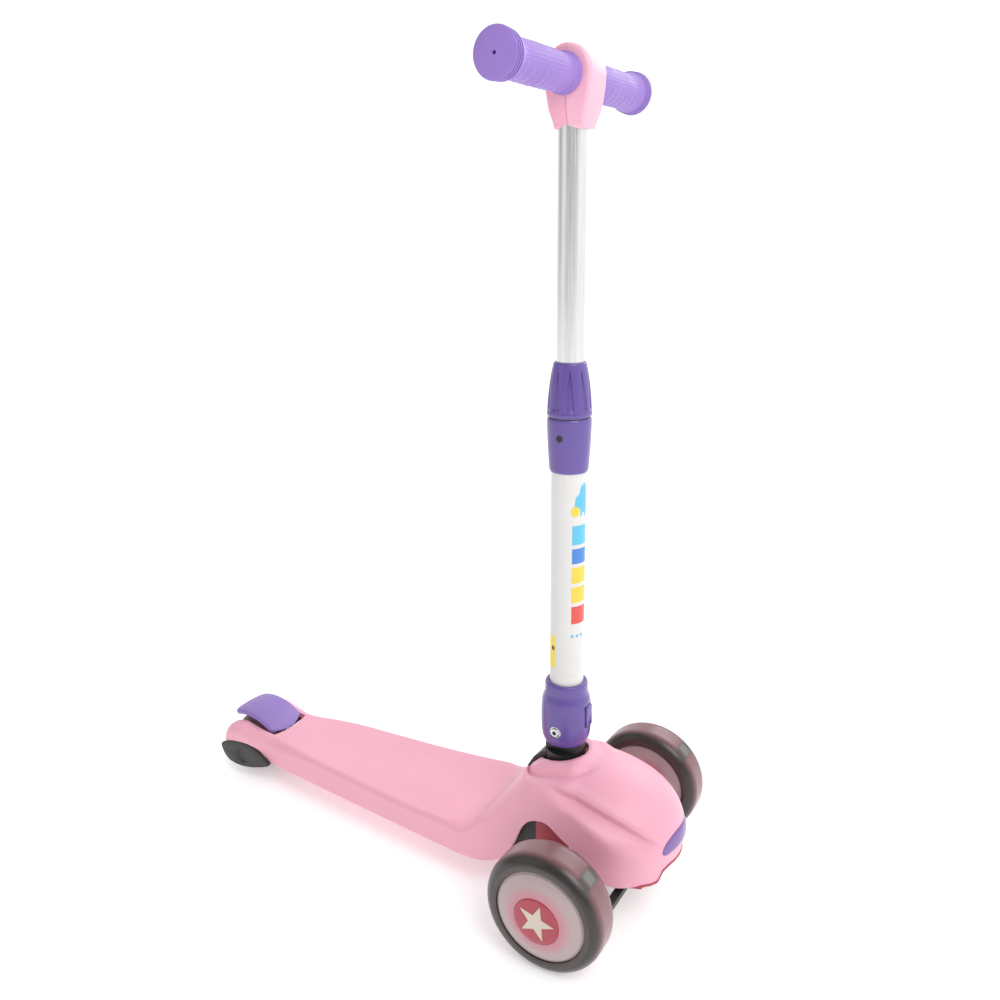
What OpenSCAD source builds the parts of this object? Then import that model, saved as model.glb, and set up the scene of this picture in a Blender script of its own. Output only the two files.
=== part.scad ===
// Three-wheeled kick scooter for small children, steered by leaning.
// A one-piece moulded deck and hood stands on two light-up front wheels and one rear wheel.
// The telescopic stem folds back over the deck, and the rear fender is a foot brake.
// +X forward, +Y to the rider's left, +Z up, origin on the ground below the middle.
// Every module works in stem coordinates: x is measured forward from the stem's axis.

/* [Overall] */
// Distance of the stem's axis ahead of the scooter's middle
stem_x = 168.9; // [168.4:0.1:169.4]

/* [Front wheels] */
// Radius of a front wheel
front_r = 60; // [58:1:61]
// Width of a front tyre
front_w = 39; // [37:1:40]
// Distance of the front axle ahead of the stem
front_axle_x = 45.5; // [44:0.5:47]
// Distance between the middles of the two front wheels
front_track = 244; // [243:1:250]
// Radius of the round face plate in a front wheel
face_r = 45; // [44:0.5:45.2]
// Radius of the red disc that carries the star
star_disc_r = 23; // [20:1:26]
// Number of light modules cast into each front tyre
light_count = 3; // [2:1:5]

/* [Rear wheel] */
// Radius of the rear wheel
rear_r = 35; // [33:1:36]
// Width of the rear tyre
rear_w = 36; // [34:1:40]
// Distance of the rear axle behind the stem
rear_axle_back = 430; // [428:1:432]

/* [Deck and hood] */
// Height of the flat standing surface
deck_top_z = 62; // [60:1:64]
// Height of the deck's lower edge
deck_bottom_z = 30; // [28:1:32]
// Half of the deck's width where it meets the hood
deck_half = 70; // [68:0.5:71]
// Height of the hood beside the stem
hood_top_z = 150; // [149:0.5:151]
// Distance of the nose ahead of the stem
nose_x = 128; // [127:0.5:129]
// Wall thickness of the moulding
wall = 3; // [2.5:0.25:3.5]

/* [Rear fork] */
// Half of the fork's outer width
fork_half = 45; // [44:0.5:46]
// Half of the gap between the fork arms
fork_gap = 28; // [27:0.5:28.5]
// Distance of the fork's rear end behind the stem
fork_end = 469; // [468:0.5:470]

/* [Brake] */
// Radius of the fender's upper surface
fender_r = 65.8; // [65:0.2:66.4]
// Half of the fender's width
fender_half = 25.7; // [24:0.1:26]
// Thickness of the fender
fender_t = 3.2; // [3:0.1:3.6]

/* [Stem] */
// Outer radius of the lower stem tube
outer_tube_r = 17; // [16.8:0.1:17.2]
// Outer radius of the telescopic upper tube
inner_tube_r = 12.7; // [12.5:0.1:12.8]
// Height of the folding bolt
fold_z = 175; // [174:0.5:176]
// Height where the two collars meet
collar_z = 494; // [490:0.5:497]
// Length of the twist collar
twist_len = 50; // [48:0.5:51]
// Length of the fixed collar below it
lower_collar_len = 53.3; // [52:0.1:55]

/* [Handlebar] */
// Height of the handlebar's axis
bar_z = 787.7; // [780:0.1:792]
// Half of the handlebar's whole length
bar_half = 130.5; // [125:0.5:135]
// Radius of the steel cross tube
bar_r = 11.1; // [11:0.1:11.4]
// Radius of the flange at the end of a grip
grip_flange_r = 19.7; // [18:0.1:20]

/* [Steering] */
// Height of the lean pivot
lean_z = 58; // [57:0.5:58.5]
// Distance of a kingpin from the middle
kingpin_y = 86; // [86:0.5:88]
// Length of a steering arm, from kingpin to tie-rod pin
arm_len = 38; // [37:0.5:39]

/* [Hidden] */
$fn = 64;

// Clearances
run = 0.05;     // a pin turning in its bore
air = 0.3;      // faces of different moving parts that only pass each other
eps = 0.01;

// Colours
pink = [0.97, 0.70, 0.80];
light_pink = [0.99, 0.80, 0.87];
purple = [0.45, 0.36, 0.70];
light_purple = [0.64, 0.52, 0.86];
smoke = [0.45, 0.34, 0.37];
red = [0.78, 0.24, 0.34];
dark = [0.25, 0.26, 0.26];
black = [0.13, 0.13, 0.13];
steel = [0.72, 0.73, 0.75];
hub_pink = [0.80, 0.66, 0.70];

// Plain derived sizes
rear_axle_x = -rear_axle_back;
bolt_r = 4;                      // M8 bolts: fold, lean, kingpins and axles
bearing_r = 11;                  // 608 bearings: 22 mm outside, 7 mm wide
bearing_w = 7;

// ---------------------------------------------------------------- small tools

module in_place() translate([stem_x, 0, 0]) children();

module along_y(y0, y1, r) translate([0, y0, 0]) rotate([-90, 0, 0]) cylinder(h = y1 - y0, r = r);

module along_x(x0, x1, r) translate([x0, 0, 0]) rotate([0, 90, 0]) cylinder(h = x1 - x0, r = r);

// A shape turned about the Y axis from points [radius, distance along +Y]
module turned_y(points) rotate([-90, 0, 0]) rotate_extrude() polygon(points);

// An outline drawn in [x, z] and given a thickness from y0 to y1
module slab_y(points, y0, y1)
    translate([0, y1, 0]) rotate([90, 0, 0]) linear_extrude(y1 - y0) polygon(points);

// Mirrors a left-hand part to the right-hand side
module right_hand() mirror([0, 1, 0]) children();

// A hexagonal nut or bolt head along +Y
module hex_y(y0, y1, r) translate([0, y0, 0]) rotate([-90, 0, 0]) cylinder(h = y1 - y0, r = r, $fn = 6);

// A coil spring standing on the XY plane
function coil_ring(r, wire, turn, z) = [
    for (a = [0:60:300])
        [(r + wire * cos(a)) * cos(turn), (r + wire * cos(a)) * sin(turn), z + wire * sin(a)]
];
module coil(r, wire, turns, height) {
    steps = turns * 12;
    rise = height - 2 * wire;
    rings = [for (i = [0:steps]) coil_ring(r, wire, i * 30, wire + rise * i / steps)];
    sides = [
        for (i = [0:steps - 1], k = [0:5])
            [i * 6 + k, i * 6 + (k + 1) % 6, (i + 1) * 6 + (k + 1) % 6, (i + 1) * 6 + k]
    ];
    polyhedron(
        points = [for (ring = rings) each ring],
        faces = concat([[for (k = [5:-1:0]) k]], sides, [[for (k = [0:5]) steps * 6 + k]])
    );
}

// ------------------------------------------------- outlines of deck and hood

// Half width of the moulding seen from above
fork_round_x = -430;   // where the fork's rear end starts to round off
neck_x = -387;         // narrowest place of the deck
neck_half = 40;
flare = 0.095;         // widening of the deck per millimetre
wide_x = -80;          // where the deck reaches its full width
fork_round = fork_end + fork_round_x;
function rounded(u, n, m) = pow(max(0, 1 - pow(u, n)), 1 / m);
function fork_side(x, t) = (fork_half - t) * rounded((fork_round_x - x) / (fork_round - t), 4, 4);
function neck_side(x) = fork_half + (neck_half - fork_half) * (x - fork_round_x) / (neck_x - fork_round_x);
function deck_side(x) = min(deck_half + flare * (x - wide_x), neck_half + 0.2 * (x - neck_x));
function hood_side(x, t) = (deck_half - t) * rounded(x / (nose_x - t), 3, 2);
function half_width(x, t) =
    x < fork_round_x ? fork_side(x, t) :
    x < neck_x ? neck_side(x) - t :
    x < wide_x ? deck_side(x) - t :
    x < 0 ? deck_half - t :
    hood_side(x, t);

// Height of the moulding's top seen from the side
arm_low = 34;          // height at which the fork's rear end is furthest back
arm_high = 69;         // top of the fork arms
rise_x = -94;          // where the hood starts to rise out of the deck
back_x = -4;           // where the hood's steep back ends
back_z = 147;
crest_x = 30;          // highest place of the hood, just ahead of the stem
nose_z = 88;           // height of the nose's foremost point
function smooth(t) = (1 - cos(180 * t)) / 2;
function deck_top(x) =
    x < -390 ? arm_high + (deck_top_z - arm_high) * smooth((x - fork_round_x) / 40) :
    x < rise_x ? deck_top_z :
    x < back_x ? deck_top_z + (back_z - deck_top_z) * smooth((x - rise_x) / (back_x - rise_x)) :
    back_z + (hood_top_z - back_z) * smooth((x - back_x) / (crest_x - back_x));
function top_z(x, t) =
    x < fork_round_x ? arm_low + (arm_high - t - arm_low) * rounded((fork_round_x - x) / (fork_round - t), 2, 2) :
    x < crest_x ? deck_top(x) - t :
    nose_z + (hood_top_z - t - nose_z) * rounded((x - crest_x) / (nose_x - t - crest_x), 2, 2);

// Stations along the moulding, close together where it curves
function stations(t) = concat(
    [for (u = [0, 1, 3, 7, 13, 21, 30]) -fork_end + t + u], [for (x = [-430:8:-388]) x],
    [-360, -108], [for (x = [-100:7:26]) x], [for (x = [crest_x:9:111]) x],
    [for (u = [11, 6, 2.5, 0.7, 0]) nose_x - t - u]
);

// The plan, shrunk by t on every side
module plan_shape(t) {
    side = [for (x = stations(t)) [x, half_width(x, t)]];
    last = len(side) - 1;
    polygon(concat(side, [for (i = [last - 1:-1:1]) [side[i][0], -side[i][1]]]));
}

// The hood's rounded cross-section, shrunk by t: half width at height z
crown_z = 80;          // height where the sides start to lean in
crown_h = 75;
module crown_shape(t) {
    wide = deck_half - t + 1;
    rising = [for (a = [0:7.5:82.5]) [wide * rounded(sin(a), 2.5, 2.5), crown_z + (crown_h - t) * sin(a)]];
    last = len(rising) - 1;
    polygon(concat([[wide, -5]], rising, [for (i = [last:-1:0]) [-rising[i][0], rising[i][1]]], [[-wide, -5]]));
}

// The solid form of deck and hood, shrunk by t, reaching down to z = 0
module solid_form(t) intersection() {
    linear_extrude(hood_top_z + 10) plan_shape(t);
    slab_y(concat([[nose_x + 5, 0], [-fork_end - 5, 0], [-fork_end - 5, arm_low]],
        [for (x = stations(t)) [x, top_z(x, t)]], [[nose_x + 5, nose_z]]), -90, 90);
    rotate([90, 0, 90]) translate([0, 0, -fork_end - 10]) linear_extrude(fork_end + nose_x + 20) crown_shape(t);
}

// Space below the moulding's lower edge: fork, deck, wheel arch and hood rim
cover_top = [[-fork_end - 9, 36], [-463, 38], [-447, 45], [-430, 48], [-412, 47], [-398, 42], [-382, 30]];
arch_edge = [[-90, 30], [-60, 34], [-38, 45], [-27, 55], [-20, 76], [-11, 92], [0, 99], [11, 100], [28, 92],
    [71, 64], [80, 55.5]];
rim_edge = [[95, 52], [112, 50], [nose_x + 9, 50]];
module below_edge() slab_y(concat([[-fork_end - 9, -1]], cover_top, arch_edge, rim_edge, [[nose_x + 9, -1]]), -90, 90);

// Notch in the rim at the nose's lower front
mouth_x = 104;
mouth = [[-34, 40], [-29, 60], [-24, 63.5], [-9, 66], [9, 66], [24, 63.5], [29, 60], [34, 40]];
module mouth_block(x0, x1, t) translate([x0, 0, 0]) rotate([90, 0, 90]) linear_extrude(x1 - x0)
    polygon([for (p = mouth) [p[0] - sign(p[0]) * t, p[1] - (p[1] > 45 ? t : 0)]]);

// Bosses that the bracket is bolted to
boss_spots = [[-22, 34], [-22, -34], [66, 34], [66, -34]];
bracket_z = 84;        // underside of the bracket's plate
plate_t = 6;
socket_z = bracket_z + plate_t;

module deck_ribs() {
    for (y = [-24, 24]) translate([-372, y - 1.25, 36]) cube([272, 2.5, 60]);
    for (x = [-352:42:-100]) translate([x, -80, 36]) cube([2.5, 160, 60]);
}

module hood_bosses() for (p = boss_spots) translate([p[0], p[1], socket_z + plate_t]) cylinder(h = 90, r = 6);

module fork_lugs() for (s = [0, 1]) mirror([0, s, 0]) {
    translate([rear_axle_x, 0, rear_r]) along_y(fork_gap, 38, 14);
    translate([rear_axle_x - 14, fork_gap, rear_r]) cube([28, 10, 16]);
}

module deck_shell() color(pink) in_place() difference() {
    union() {
        difference() {
            solid_form(0);
            intersection() {
                solid_form(wall);
                translate([-380, -90, -1]) cube([nose_x + 400, 180, 200]);
            }
            below_edge();
        }
        intersection() {
            solid_form(wall - 0.5);
            union() {
                deck_ribs();
                hood_bosses();
            }
        }
        fork_lugs();
    }
    // gap for the rear wheel and the fender
    translate([-fork_end - 10, -fork_gap, -1]) cube([fork_end + 10 - 383, 2 * fork_gap, 120]);
    // opening for the stem socket and its fin
    translate([0, 0, 100]) cylinder(h = 70, r = 24);
    translate([-44, -13, 100]) cube([44, 26, 70]);
    mouth_block(mouth_x, nose_x + 10, 0);
    for (p = boss_spots) translate([p[0], p[1], 60]) cylinder(h = 60, r = 2.5);
    translate([rear_axle_x, 0, rear_r]) along_y(-60, 60, bolt_r - run);
    translate([brake_pin_x, 0, brake_pin_z]) along_y(-36, 36, brake_pin_r);
}

pan_x = 89.5;          // rear edge of the under cover's pan
pan_z = 46.5;
pan_t = 3.2;

// Pan below the hood's front rim
module cover_pan() difference() {
    intersection() {
        translate([0, 0, pan_z]) linear_extrude(pan_t) plan_shape(-0.6);
        translate([pan_x, -90, 40]) cube([60, 180, 20]);
    }
    mouth_block(mouth_x, nose_x + 10, air + lip_t);
}

// Lip that follows the notch, a little proud of the nose
lip_t = 3;
lip_out = 1.4;
module cover_lip() intersection() {
    translate([0, 0, pan_z]) linear_extrude(60) difference() {
        plan_shape(-lip_out);
        plan_shape(wall + 1);
    }
    difference() {
        mouth_block(mouth_x, nose_x + 10, air);
        mouth_block(mouth_x - 1, nose_x + 11, air + lip_t);
    }
}

// Rail that is seen in a wheel arch, with the post that holds it
module cover_rail() {
    translate([4, 47, 74]) cube([pan_x - 0.5, 2.5, 21]);
    translate([pan_x, 47, pan_z + 1]) cube([3.5, 2.5, 30]);
}

module under_cover() color(red) in_place() {
    cover_pan();
    cover_lip();
    cover_rail();
    mirror([0, 1, 0]) cover_rail();
}

badge_t = 1.2;
badge_outline = [[-30, 84], [-28.5, 79], [-24, 78], [24, 78], [28.5, 79], [30, 84], [24, 92], [12, 98], [-12, 98],
    [-24, 92]];
module nose_badge() color(light_purple) in_place() intersection() {
    linear_extrude(120) difference() {
        plan_shape(-badge_t);
        plan_shape(0);
    }
    translate([100, 0, 0]) rotate([90, 0, 90]) linear_extrude(60) polygon(badge_outline);
}

// ------------------------------------------------ bracket, socket and steering

ear_x = [front_axle_x - 17.5, front_axle_x + 10.5];
ear_w = 7;

module pivot_bracket() color(dark) in_place() difference() {
    union() {
        translate([-32, -43, bracket_z]) cube([108, 86, plate_t]);
        for (x = ear_x) {
            translate([x, -13, lean_z]) cube([ear_w, 26, bracket_z - lean_z + 1]);
            translate([0, 0, lean_z]) along_x(x, x + ear_w, 12);
        }
    }
    translate([0, 0, lean_z]) along_x(0, 90, bolt_r);
    for (p = boss_spots) translate([p[0], p[1], bracket_z - 1]) cylinder(h = plate_t + 2, r = 2.5);
}

module bracket_bolts() color(steel) in_place() for (p = boss_spots) translate([p[0], p[1], bracket_z - 4]) {
    difference() {
        cylinder(h = 4, r = 5);
        translate([0, 0, -1]) cylinder(h = 3, r = 2, $fn = 6);
    }
    translate([0, 0, 4 - eps]) cylinder(h = 26, r = 2.5);
}

tongue_r = 17;
tongue_half = 11.7;
neck_r = 20;
sleeve_low = 157.5;    // lower rim of the folding sleeve
sleeve_low_r = 20.8;
// the neck's shoulders stay below the circle that the sleeve's rim sweeps as it folds
shoulder_z = fold_z - norm([sleeve_low_r, fold_z - sleeve_low]) - air;
fin = [[-16, 142], [-23, 140], [-32, 131], [-39, 119], [-41, 105], [-41, 95], [-10, 95], [-10, 142]];

module stem_socket() color(black) in_place() difference() {
    union() {
        translate([-32, -43, socket_z]) cube([108, 86, plate_t]);
        translate([0, 0, socket_z]) cylinder(h = shoulder_z - socket_z, r = neck_r);
        intersection() {
            translate([0, 0, socket_z]) cylinder(h = sleeve_low - air - socket_z, r = neck_r);
            translate([-tongue_r, -tongue_half, socket_z])
                cube([tongue_r + neck_r, 2 * tongue_half, sleeve_low - air - socket_z]);
        }
        slab_y(fin, -11, 11);
        translate([-tongue_r, -tongue_half, 120]) cube([2 * tongue_r, 2 * tongue_half, fold_z - 120]);
        translate([0, 0, fold_z]) along_y(-tongue_half, tongue_half, tongue_r);
    }
    translate([0, 0, fold_z]) along_y(-30, 30, bolt_r + run);
    for (p = boss_spots) translate([p[0], p[1], socket_z - 1]) cylinder(h = plate_t + 2, r = 2.5);
}

module pivot_bolt() color(steel) in_place() translate([0, 0, lean_z]) {
    along_x(ear_x[0] - 5, ear_x[0], 7);
    along_x(ear_x[0] - eps, ear_x[1] + ear_w + 8, bolt_r);
}

spring_y = 34;
beam_h = 14;
module steering_spring() color(steel) in_place()
    translate([front_axle_x, spring_y, lean_z + beam_h / 2]) coil(6, 1.1, 4, bracket_z - lean_z - beam_h / 2);
module spring_left() steering_spring();
module spring_right() right_hand() steering_spring();

lug_t = 5.6;
barrel_h = 20;
barrel_z = front_r - barrel_h / 2;
lug_gap = 0.4;

module beam_end() {
    web_y = kingpin_y - 14.5;
    low_z = barrel_z - lug_gap - lug_t;
    tall = barrel_h + 2 * lug_gap + 2 * lug_t;
    difference() {
        union() {
            translate([front_axle_x - 8.5, web_y, low_z]) cube([17, 14.5, tall]);
            translate([front_axle_x, kingpin_y, low_z]) cylinder(h = tall, r = 8.5);
        }
        translate([front_axle_x - 20, web_y + 5, barrel_z - lug_gap]) cube([40, 40, barrel_h + 2 * lug_gap]);
    }
}

module axle_beam() color(dark) in_place() difference() {
    union() {
        translate([front_axle_x - 8.5, -kingpin_y + 10, lean_z - beam_h / 2]) cube([17, 2 * kingpin_y - 20, beam_h]);
        translate([0, 0, lean_z]) along_x(front_axle_x - 8.5, front_axle_x + 8.5, 12);
        beam_end();
        right_hand() beam_end();
    }
    for (s = [-1, 1]) translate([front_axle_x, s * kingpin_y, 30]) cylinder(h = 60, r = bolt_r);
    translate([0, 0, lean_z]) along_x(0, 90, bolt_r + run);
}

module kingpins() color(steel) in_place() for (s = [-1, 1]) translate([front_axle_x, s * kingpin_y, 0]) {
    translate([0, 0, barrel_z - 9]) cylinder(h = barrel_h + 18, r = bolt_r);
    translate([0, 0, barrel_z + barrel_h + 6]) cylinder(h = 4, r = 6.5);
}

wheel_y = front_track / 2;
arm_z = barrel_z - 4.5;
pin_r = 3;
riser_x = 10.5;        // the riser passes the beam's lug at full lock

module knuckle() color(dark) in_place() difference() {
    union() {
        translate([front_axle_x, kingpin_y, barrel_z]) cylinder(h = barrel_h, r = 8.4);
        translate([front_axle_x, 0, front_r]) along_y(kingpin_y, wheel_y - 22.5, 8.4);
        translate([front_axle_x, 0, front_r]) along_y(wheel_y - 23, wheel_y - 15.2, 6);
        // steering arm with its tie-rod pin
        translate([front_axle_x + riser_x, kingpin_y - 5, arm_z - 4]) cube([arm_len - riser_x, 10, 6]);
        translate([front_axle_x + 4, kingpin_y - 5, barrel_z]) cube([riser_x, 10, 8]);
        translate([front_axle_x + riser_x, kingpin_y - 5, arm_z - 2]) cube([4, 10, 12]);
        translate([front_axle_x + arm_len, kingpin_y, arm_z - 4]) cylinder(h = 6, r = 7);
        translate([front_axle_x + arm_len, kingpin_y, arm_z - 12]) cylinder(h = 9, r = pin_r);
    }
    translate([front_axle_x, kingpin_y, 30]) cylinder(h = 60, r = bolt_r + run);
    translate([front_axle_x, 0, front_r]) along_y(wheel_y - 28, wheel_y, bolt_r - run);
}
module knuckle_left() knuckle();
module knuckle_right() right_hand() knuckle();

module axle_bolt() color(steel) in_place() translate([front_axle_x, 0, front_r]) difference() {
    union() {
        along_y(wheel_y - 28, wheel_y + 12.3, bolt_r - run);
        along_y(wheel_y + 12.2, wheel_y + 15.2, 6.5);
    }
    hex_y(wheel_y + 13.2, wheel_y + 16, 2.9);
}
module axle_bolt_left() axle_bolt();
module axle_bolt_right() right_hand() axle_bolt();

tie_z = arm_z - 10.5;
module tie_rod() color(dark) in_place() translate([front_axle_x + arm_len, 0, tie_z]) difference() {
    union() {
        translate([-4, -kingpin_y, 0]) cube([8, 2 * kingpin_y, 6]);
        for (s = [-1, 1]) translate([0, s * kingpin_y, 0]) cylinder(h = 6, r = 7.5);
    }
    for (s = [-1, 1]) translate([0, s * kingpin_y, -1]) cylinder(h = 8, r = pin_r + 1.3);
}

// ------------------------------------------------------------- front wheels

shoulder = 11.5;
tyre_side = front_w / 2;
seat = 15.6;           // depth of the face plate's seat from the wheel's middle
tyre_bore = 43;

function shoulder_arc(dir) = [
    for (a = dir > 0 ? [0:15:90] : [90:-15:0])
        [front_r - shoulder + shoulder * cos(a), dir * (tyre_side - shoulder + shoulder * sin(a))]
];

module light_spots() for (k = [0:light_count - 1])
    rotate([0, -48 - k * 360 / light_count, 0]) children();

module front_tyre() color(smoke) in_place() translate([front_axle_x, wheel_y, front_r]) difference() {
    turned_y(concat(
        [[tyre_bore, -seat], [face_r + 0.3, -seat], [face_r + 0.3, -tyre_side]], shoulder_arc(-1),
        shoulder_arc(1), [[face_r + 0.3, tyre_side], [face_r + 0.3, seat], [tyre_bore, seat]]
    ));
    light_spots() translate([tyre_bore - 3, -8.2, -7.2]) cube([14.2, 16.4, 14.4]);
}
module tyre_left() front_tyre();
module tyre_right() right_hand() front_tyre();

module front_hub() color(hub_pink) in_place() translate([front_axle_x, wheel_y, front_r]) turned_y([
    [bearing_r, -18], [face_r, -18], [face_r, -seat], [tyre_bore, -seat], [tyre_bore, seat - 0.1],
    [39, seat - 0.1], [39, -14], [15, -14], [15, 12], [bearing_r, 12], [bearing_r, 5], [9, 5],
    [9, -8], [bearing_r, -8]
]);
module hub_left() front_hub();
module hub_right() right_hand() front_hub();

// Height of the domed wheel face over the wheel's middle, at a distance r from the axle
face_edge = 18;
face_rise = 8;
face_wall = 3.6;
function face_height(r) = face_edge + face_rise * (1 - pow(r / face_r, 3));
disc_seat = face_height(star_disc_r) - 0.7;
disc_t = 1.1;

module face_plate() color(hub_pink) in_place() translate([front_axle_x, wheel_y, front_r]) difference() {
    turned_y(concat(
        [for (r = [0:8:40]) [r, face_height(r) - face_wall]], [[41, seat], [face_r, seat]],
        [for (r = [face_r:-5:0]) [r, face_height(r)]]
    ));
    along_y(disc_seat, disc_seat + 10, star_disc_r + 0.2);
}
module face_plate_left() face_plate();
module face_plate_right() right_hand() face_plate();

module star_disc() color(red) in_place() translate([front_axle_x, wheel_y, front_r])
    along_y(disc_seat, disc_seat + disc_t, star_disc_r);
module star_disc_left() star_disc();
module star_disc_right() right_hand() star_disc();

module bearing(y0) difference() {
    along_y(y0, y0 + bearing_w, bearing_r);
    along_y(y0 - 1, y0 + bearing_w + 1, bolt_r);
}

module front_bearings() color(steel) in_place() translate([front_axle_x, 0, front_r]) {
    bearing(wheel_y - 15);
    bearing(wheel_y + 5);
}
module bearings_left() front_bearings();
module bearings_right() right_hand() front_bearings();

module light_modules() color(black) in_place() translate([front_axle_x, wheel_y, front_r])
    light_spots() translate([tyre_bore + 0.6, -8, -7]) cube([10.4, 16, 14]);
module lights_left() light_modules();
module lights_right() right_hand() light_modules();

// ---------------------------------------------------------------- rear end

rear_side = rear_w / 2;
rear_bore = 24;
cover_low = [[-384, 27], [-392, 22], [-404, 17.5], [-418, 14.5], [-433, 13], [-446, 15], [-456, 20], [-463, 27],
    [-466, 34]];

module rear_cover() color(dark) in_place() difference() {
    slab_y(concat([for (p = cover_top) if (p[0] > -fork_end) [p[0], p[1] - 0.2]], cover_low), 38.2, 44);
    translate([rear_axle_x, 0, rear_r]) along_y(30, 60, 9);
    for (x = [-398, -455]) translate([x, 0, 28]) along_y(30, 60, 1.5);
}
module rear_cover_left() rear_cover();
module rear_cover_right() right_hand() rear_cover();

module cover_screws() color(steel) in_place() for (s = [0, 1], x = [-398, -455]) mirror([0, s, 0])
    translate([x, 0, 28]) {
        along_y(36, 44, 1.5);
        along_y(44, 44.6, 3);
    }

module rear_axle() color(steel) in_place() translate([rear_axle_x, 0, rear_r]) difference() {
    union() {
        along_y(-38, 43.5, bolt_r - run);
        along_y(-41.5, -38, 6.8);
    }
    hex_y(-42, -40, 2.9);
}

// The same M8 lock nut holds the rear axle and the lean pivot
module lock_nuts() color(steel) in_place() {
    translate([rear_axle_x, 0, rear_r]) difference() {
        hex_y(38.1, 42.5, 7.5);
        along_y(30, 50, bolt_r - run);
    }
    translate([ear_x[1] + ear_w + 0.1, 0, lean_z]) rotate([0, 90, 0]) difference() {
        cylinder(h = 4.4, r = 7.5, $fn = 6);
        translate([0, 0, -1]) cylinder(h = 7, r = bolt_r);
    }
}

module axle_spacers() color(steel) in_place() translate([rear_axle_x, 0, rear_r]) for (s = [0, 1]) mirror([0, s, 0])
    difference() {
        along_y(rear_side - 1, fork_gap, 6.5);
        along_y(rear_side - 2, fork_gap + 1, bolt_r - run);
    }

module rear_tyre() color(smoke) in_place() translate([rear_axle_x, 0, rear_r]) turned_y(concat(
    [[rear_bore, -rear_side + 1], [27, -rear_side]],
    [for (a = [90:-15:0]) [rear_r - 7 + 7 * cos(a), -(rear_side - 7 + 7 * sin(a))]],
    [for (a = [0:15:90]) [rear_r - 7 + 7 * cos(a), rear_side - 7 + 7 * sin(a)]],
    [[27, rear_side], [rear_bore, rear_side - 1]]
));

module rear_hub() color(hub_pink) in_place() translate([rear_axle_x, 0, rear_r]) turned_y([
    [bearing_r, -rear_side + 1.4], [rear_bore, -rear_side + 1.4], [rear_bore, rear_side - 1.4],
    [bearing_r, rear_side - 1.4], [bearing_r, 9], [9, 9], [9, -9], [bearing_r, -9]
]);

module rear_bearings() color(steel) in_place() translate([rear_axle_x, 0, rear_r]) {
    bearing(9);
    bearing(-9 - bearing_w);
}

// Brake
brake_pin_x = -391;
brake_pin_z = 54;
brake_pin_r = 2.5;
fender_x = -434.4;     // centre of the fender's arc
fender_z = 15.9;
pad_t = 4;

module fender_sector(r0, r1, a0, a1, half) translate([fender_x, 0, fender_z]) intersection() {
    difference() {
        along_y(-half, half, r1);
        along_y(-half - 1, half + 1, r0);
    }
    slab_y([[0, 0], [120 * cos(a0), 120 * sin(a0)], [120 * cos((a0 + a1) / 2), 120 * sin((a0 + a1) / 2)],
        [120 * cos(a1), 120 * sin(a1)]], -half - 1, half + 1);
}

module brake_fender() color(purple) in_place() difference() {
    union() {
        fender_sector(fender_r - fender_t, fender_r, 43.5, 109.5, fender_half);
        for (s = [0, 1]) mirror([0, s, 0]) {
            translate([brake_pin_x, 0, brake_pin_z]) along_y(17, 22, 4.5);
            translate([brake_pin_x - 3.5, 17, brake_pin_z]) cube([7, 5, 9]);
        }
    }
    translate([brake_pin_x, 0, brake_pin_z]) along_y(-60, 60, brake_pin_r + run);
}

module brake_pad() color(steel) in_place()
    fender_sector(fender_r - fender_t - pad_t, fender_r - fender_t, 80, 104, 14);

module brake_pin() color(steel) in_place() translate([brake_pin_x, 0, brake_pin_z]) along_y(-36, 36, brake_pin_r);

module brake_spring() color(steel) in_place()
    translate([brake_pin_x, -8, brake_pin_z]) rotate([-90, 0, 0]) coil(4, 0.8, 4, 16);

// -------------------------------------------------------------------- stem

sleeve_r = 25.3;
sleeve_top = 223.5;
tube_low = 198;
sleeve_profile = [
    [0, sleeve_low], [sleeve_low_r, sleeve_low], [21.8, 158.5], [23.8, 163], [25, 170], [sleeve_r, 177], [sleeve_r, 196],
    [24.6, 204], [22.6, 210], [21.5, 213], [21.5, 221.5], [20.8, sleeve_top], [0, sleeve_top]
];
button_z = 189;
button_face = 26.4;    // the button stands just proud of the sleeve
button_back = 24.2;

module hinge_sleeve() color(purple) in_place() difference() {
    rotate_extrude() polygon(sleeve_profile);
    translate([0, 0, tube_low]) cylinder(h = 40, r = outer_tube_r);
    // slot that lets the socket's tongue swing out to the rear
    translate([-30, -tongue_half - air, sleeve_low - 1])
        cube([30 + tongue_r + 0.5, 2 * (tongue_half + air), fold_z - sleeve_low + 1]);
    translate([-30, -tongue_half - air, fold_z - 1]) cube([30, 2 * (tongue_half + air), tongue_r + 1.5]);
    translate([0, 0, fold_z]) along_y(-tongue_half - air, tongue_half + air, tongue_r + 0.5);
    // folding bolt with sunk head and nut
    translate([0, 0, fold_z]) along_y(-40, 40, bolt_r);
    translate([0, 0, fold_z]) along_y(-40, -22, 6.4);
    translate([0, 0, fold_z]) along_y(22, 40, 6.9);
    // pocket for the release button and the hole for its plunger
    translate([21, -6.3, button_z - 11.3]) cube([10, 12.6, 22.6]);
    translate([0, 0, button_z + 6]) along_x(0, 30, 2.2);
}

module outer_tube() color("white") in_place() translate([0, 0, tube_low]) difference() {
    cylinder(h = collar_z + 6 - tube_low, r = outer_tube_r);
    translate([0, 0, -1]) cylinder(h = collar_z + 8 - tube_low, r = outer_tube_r - 1.5);
}

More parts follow.
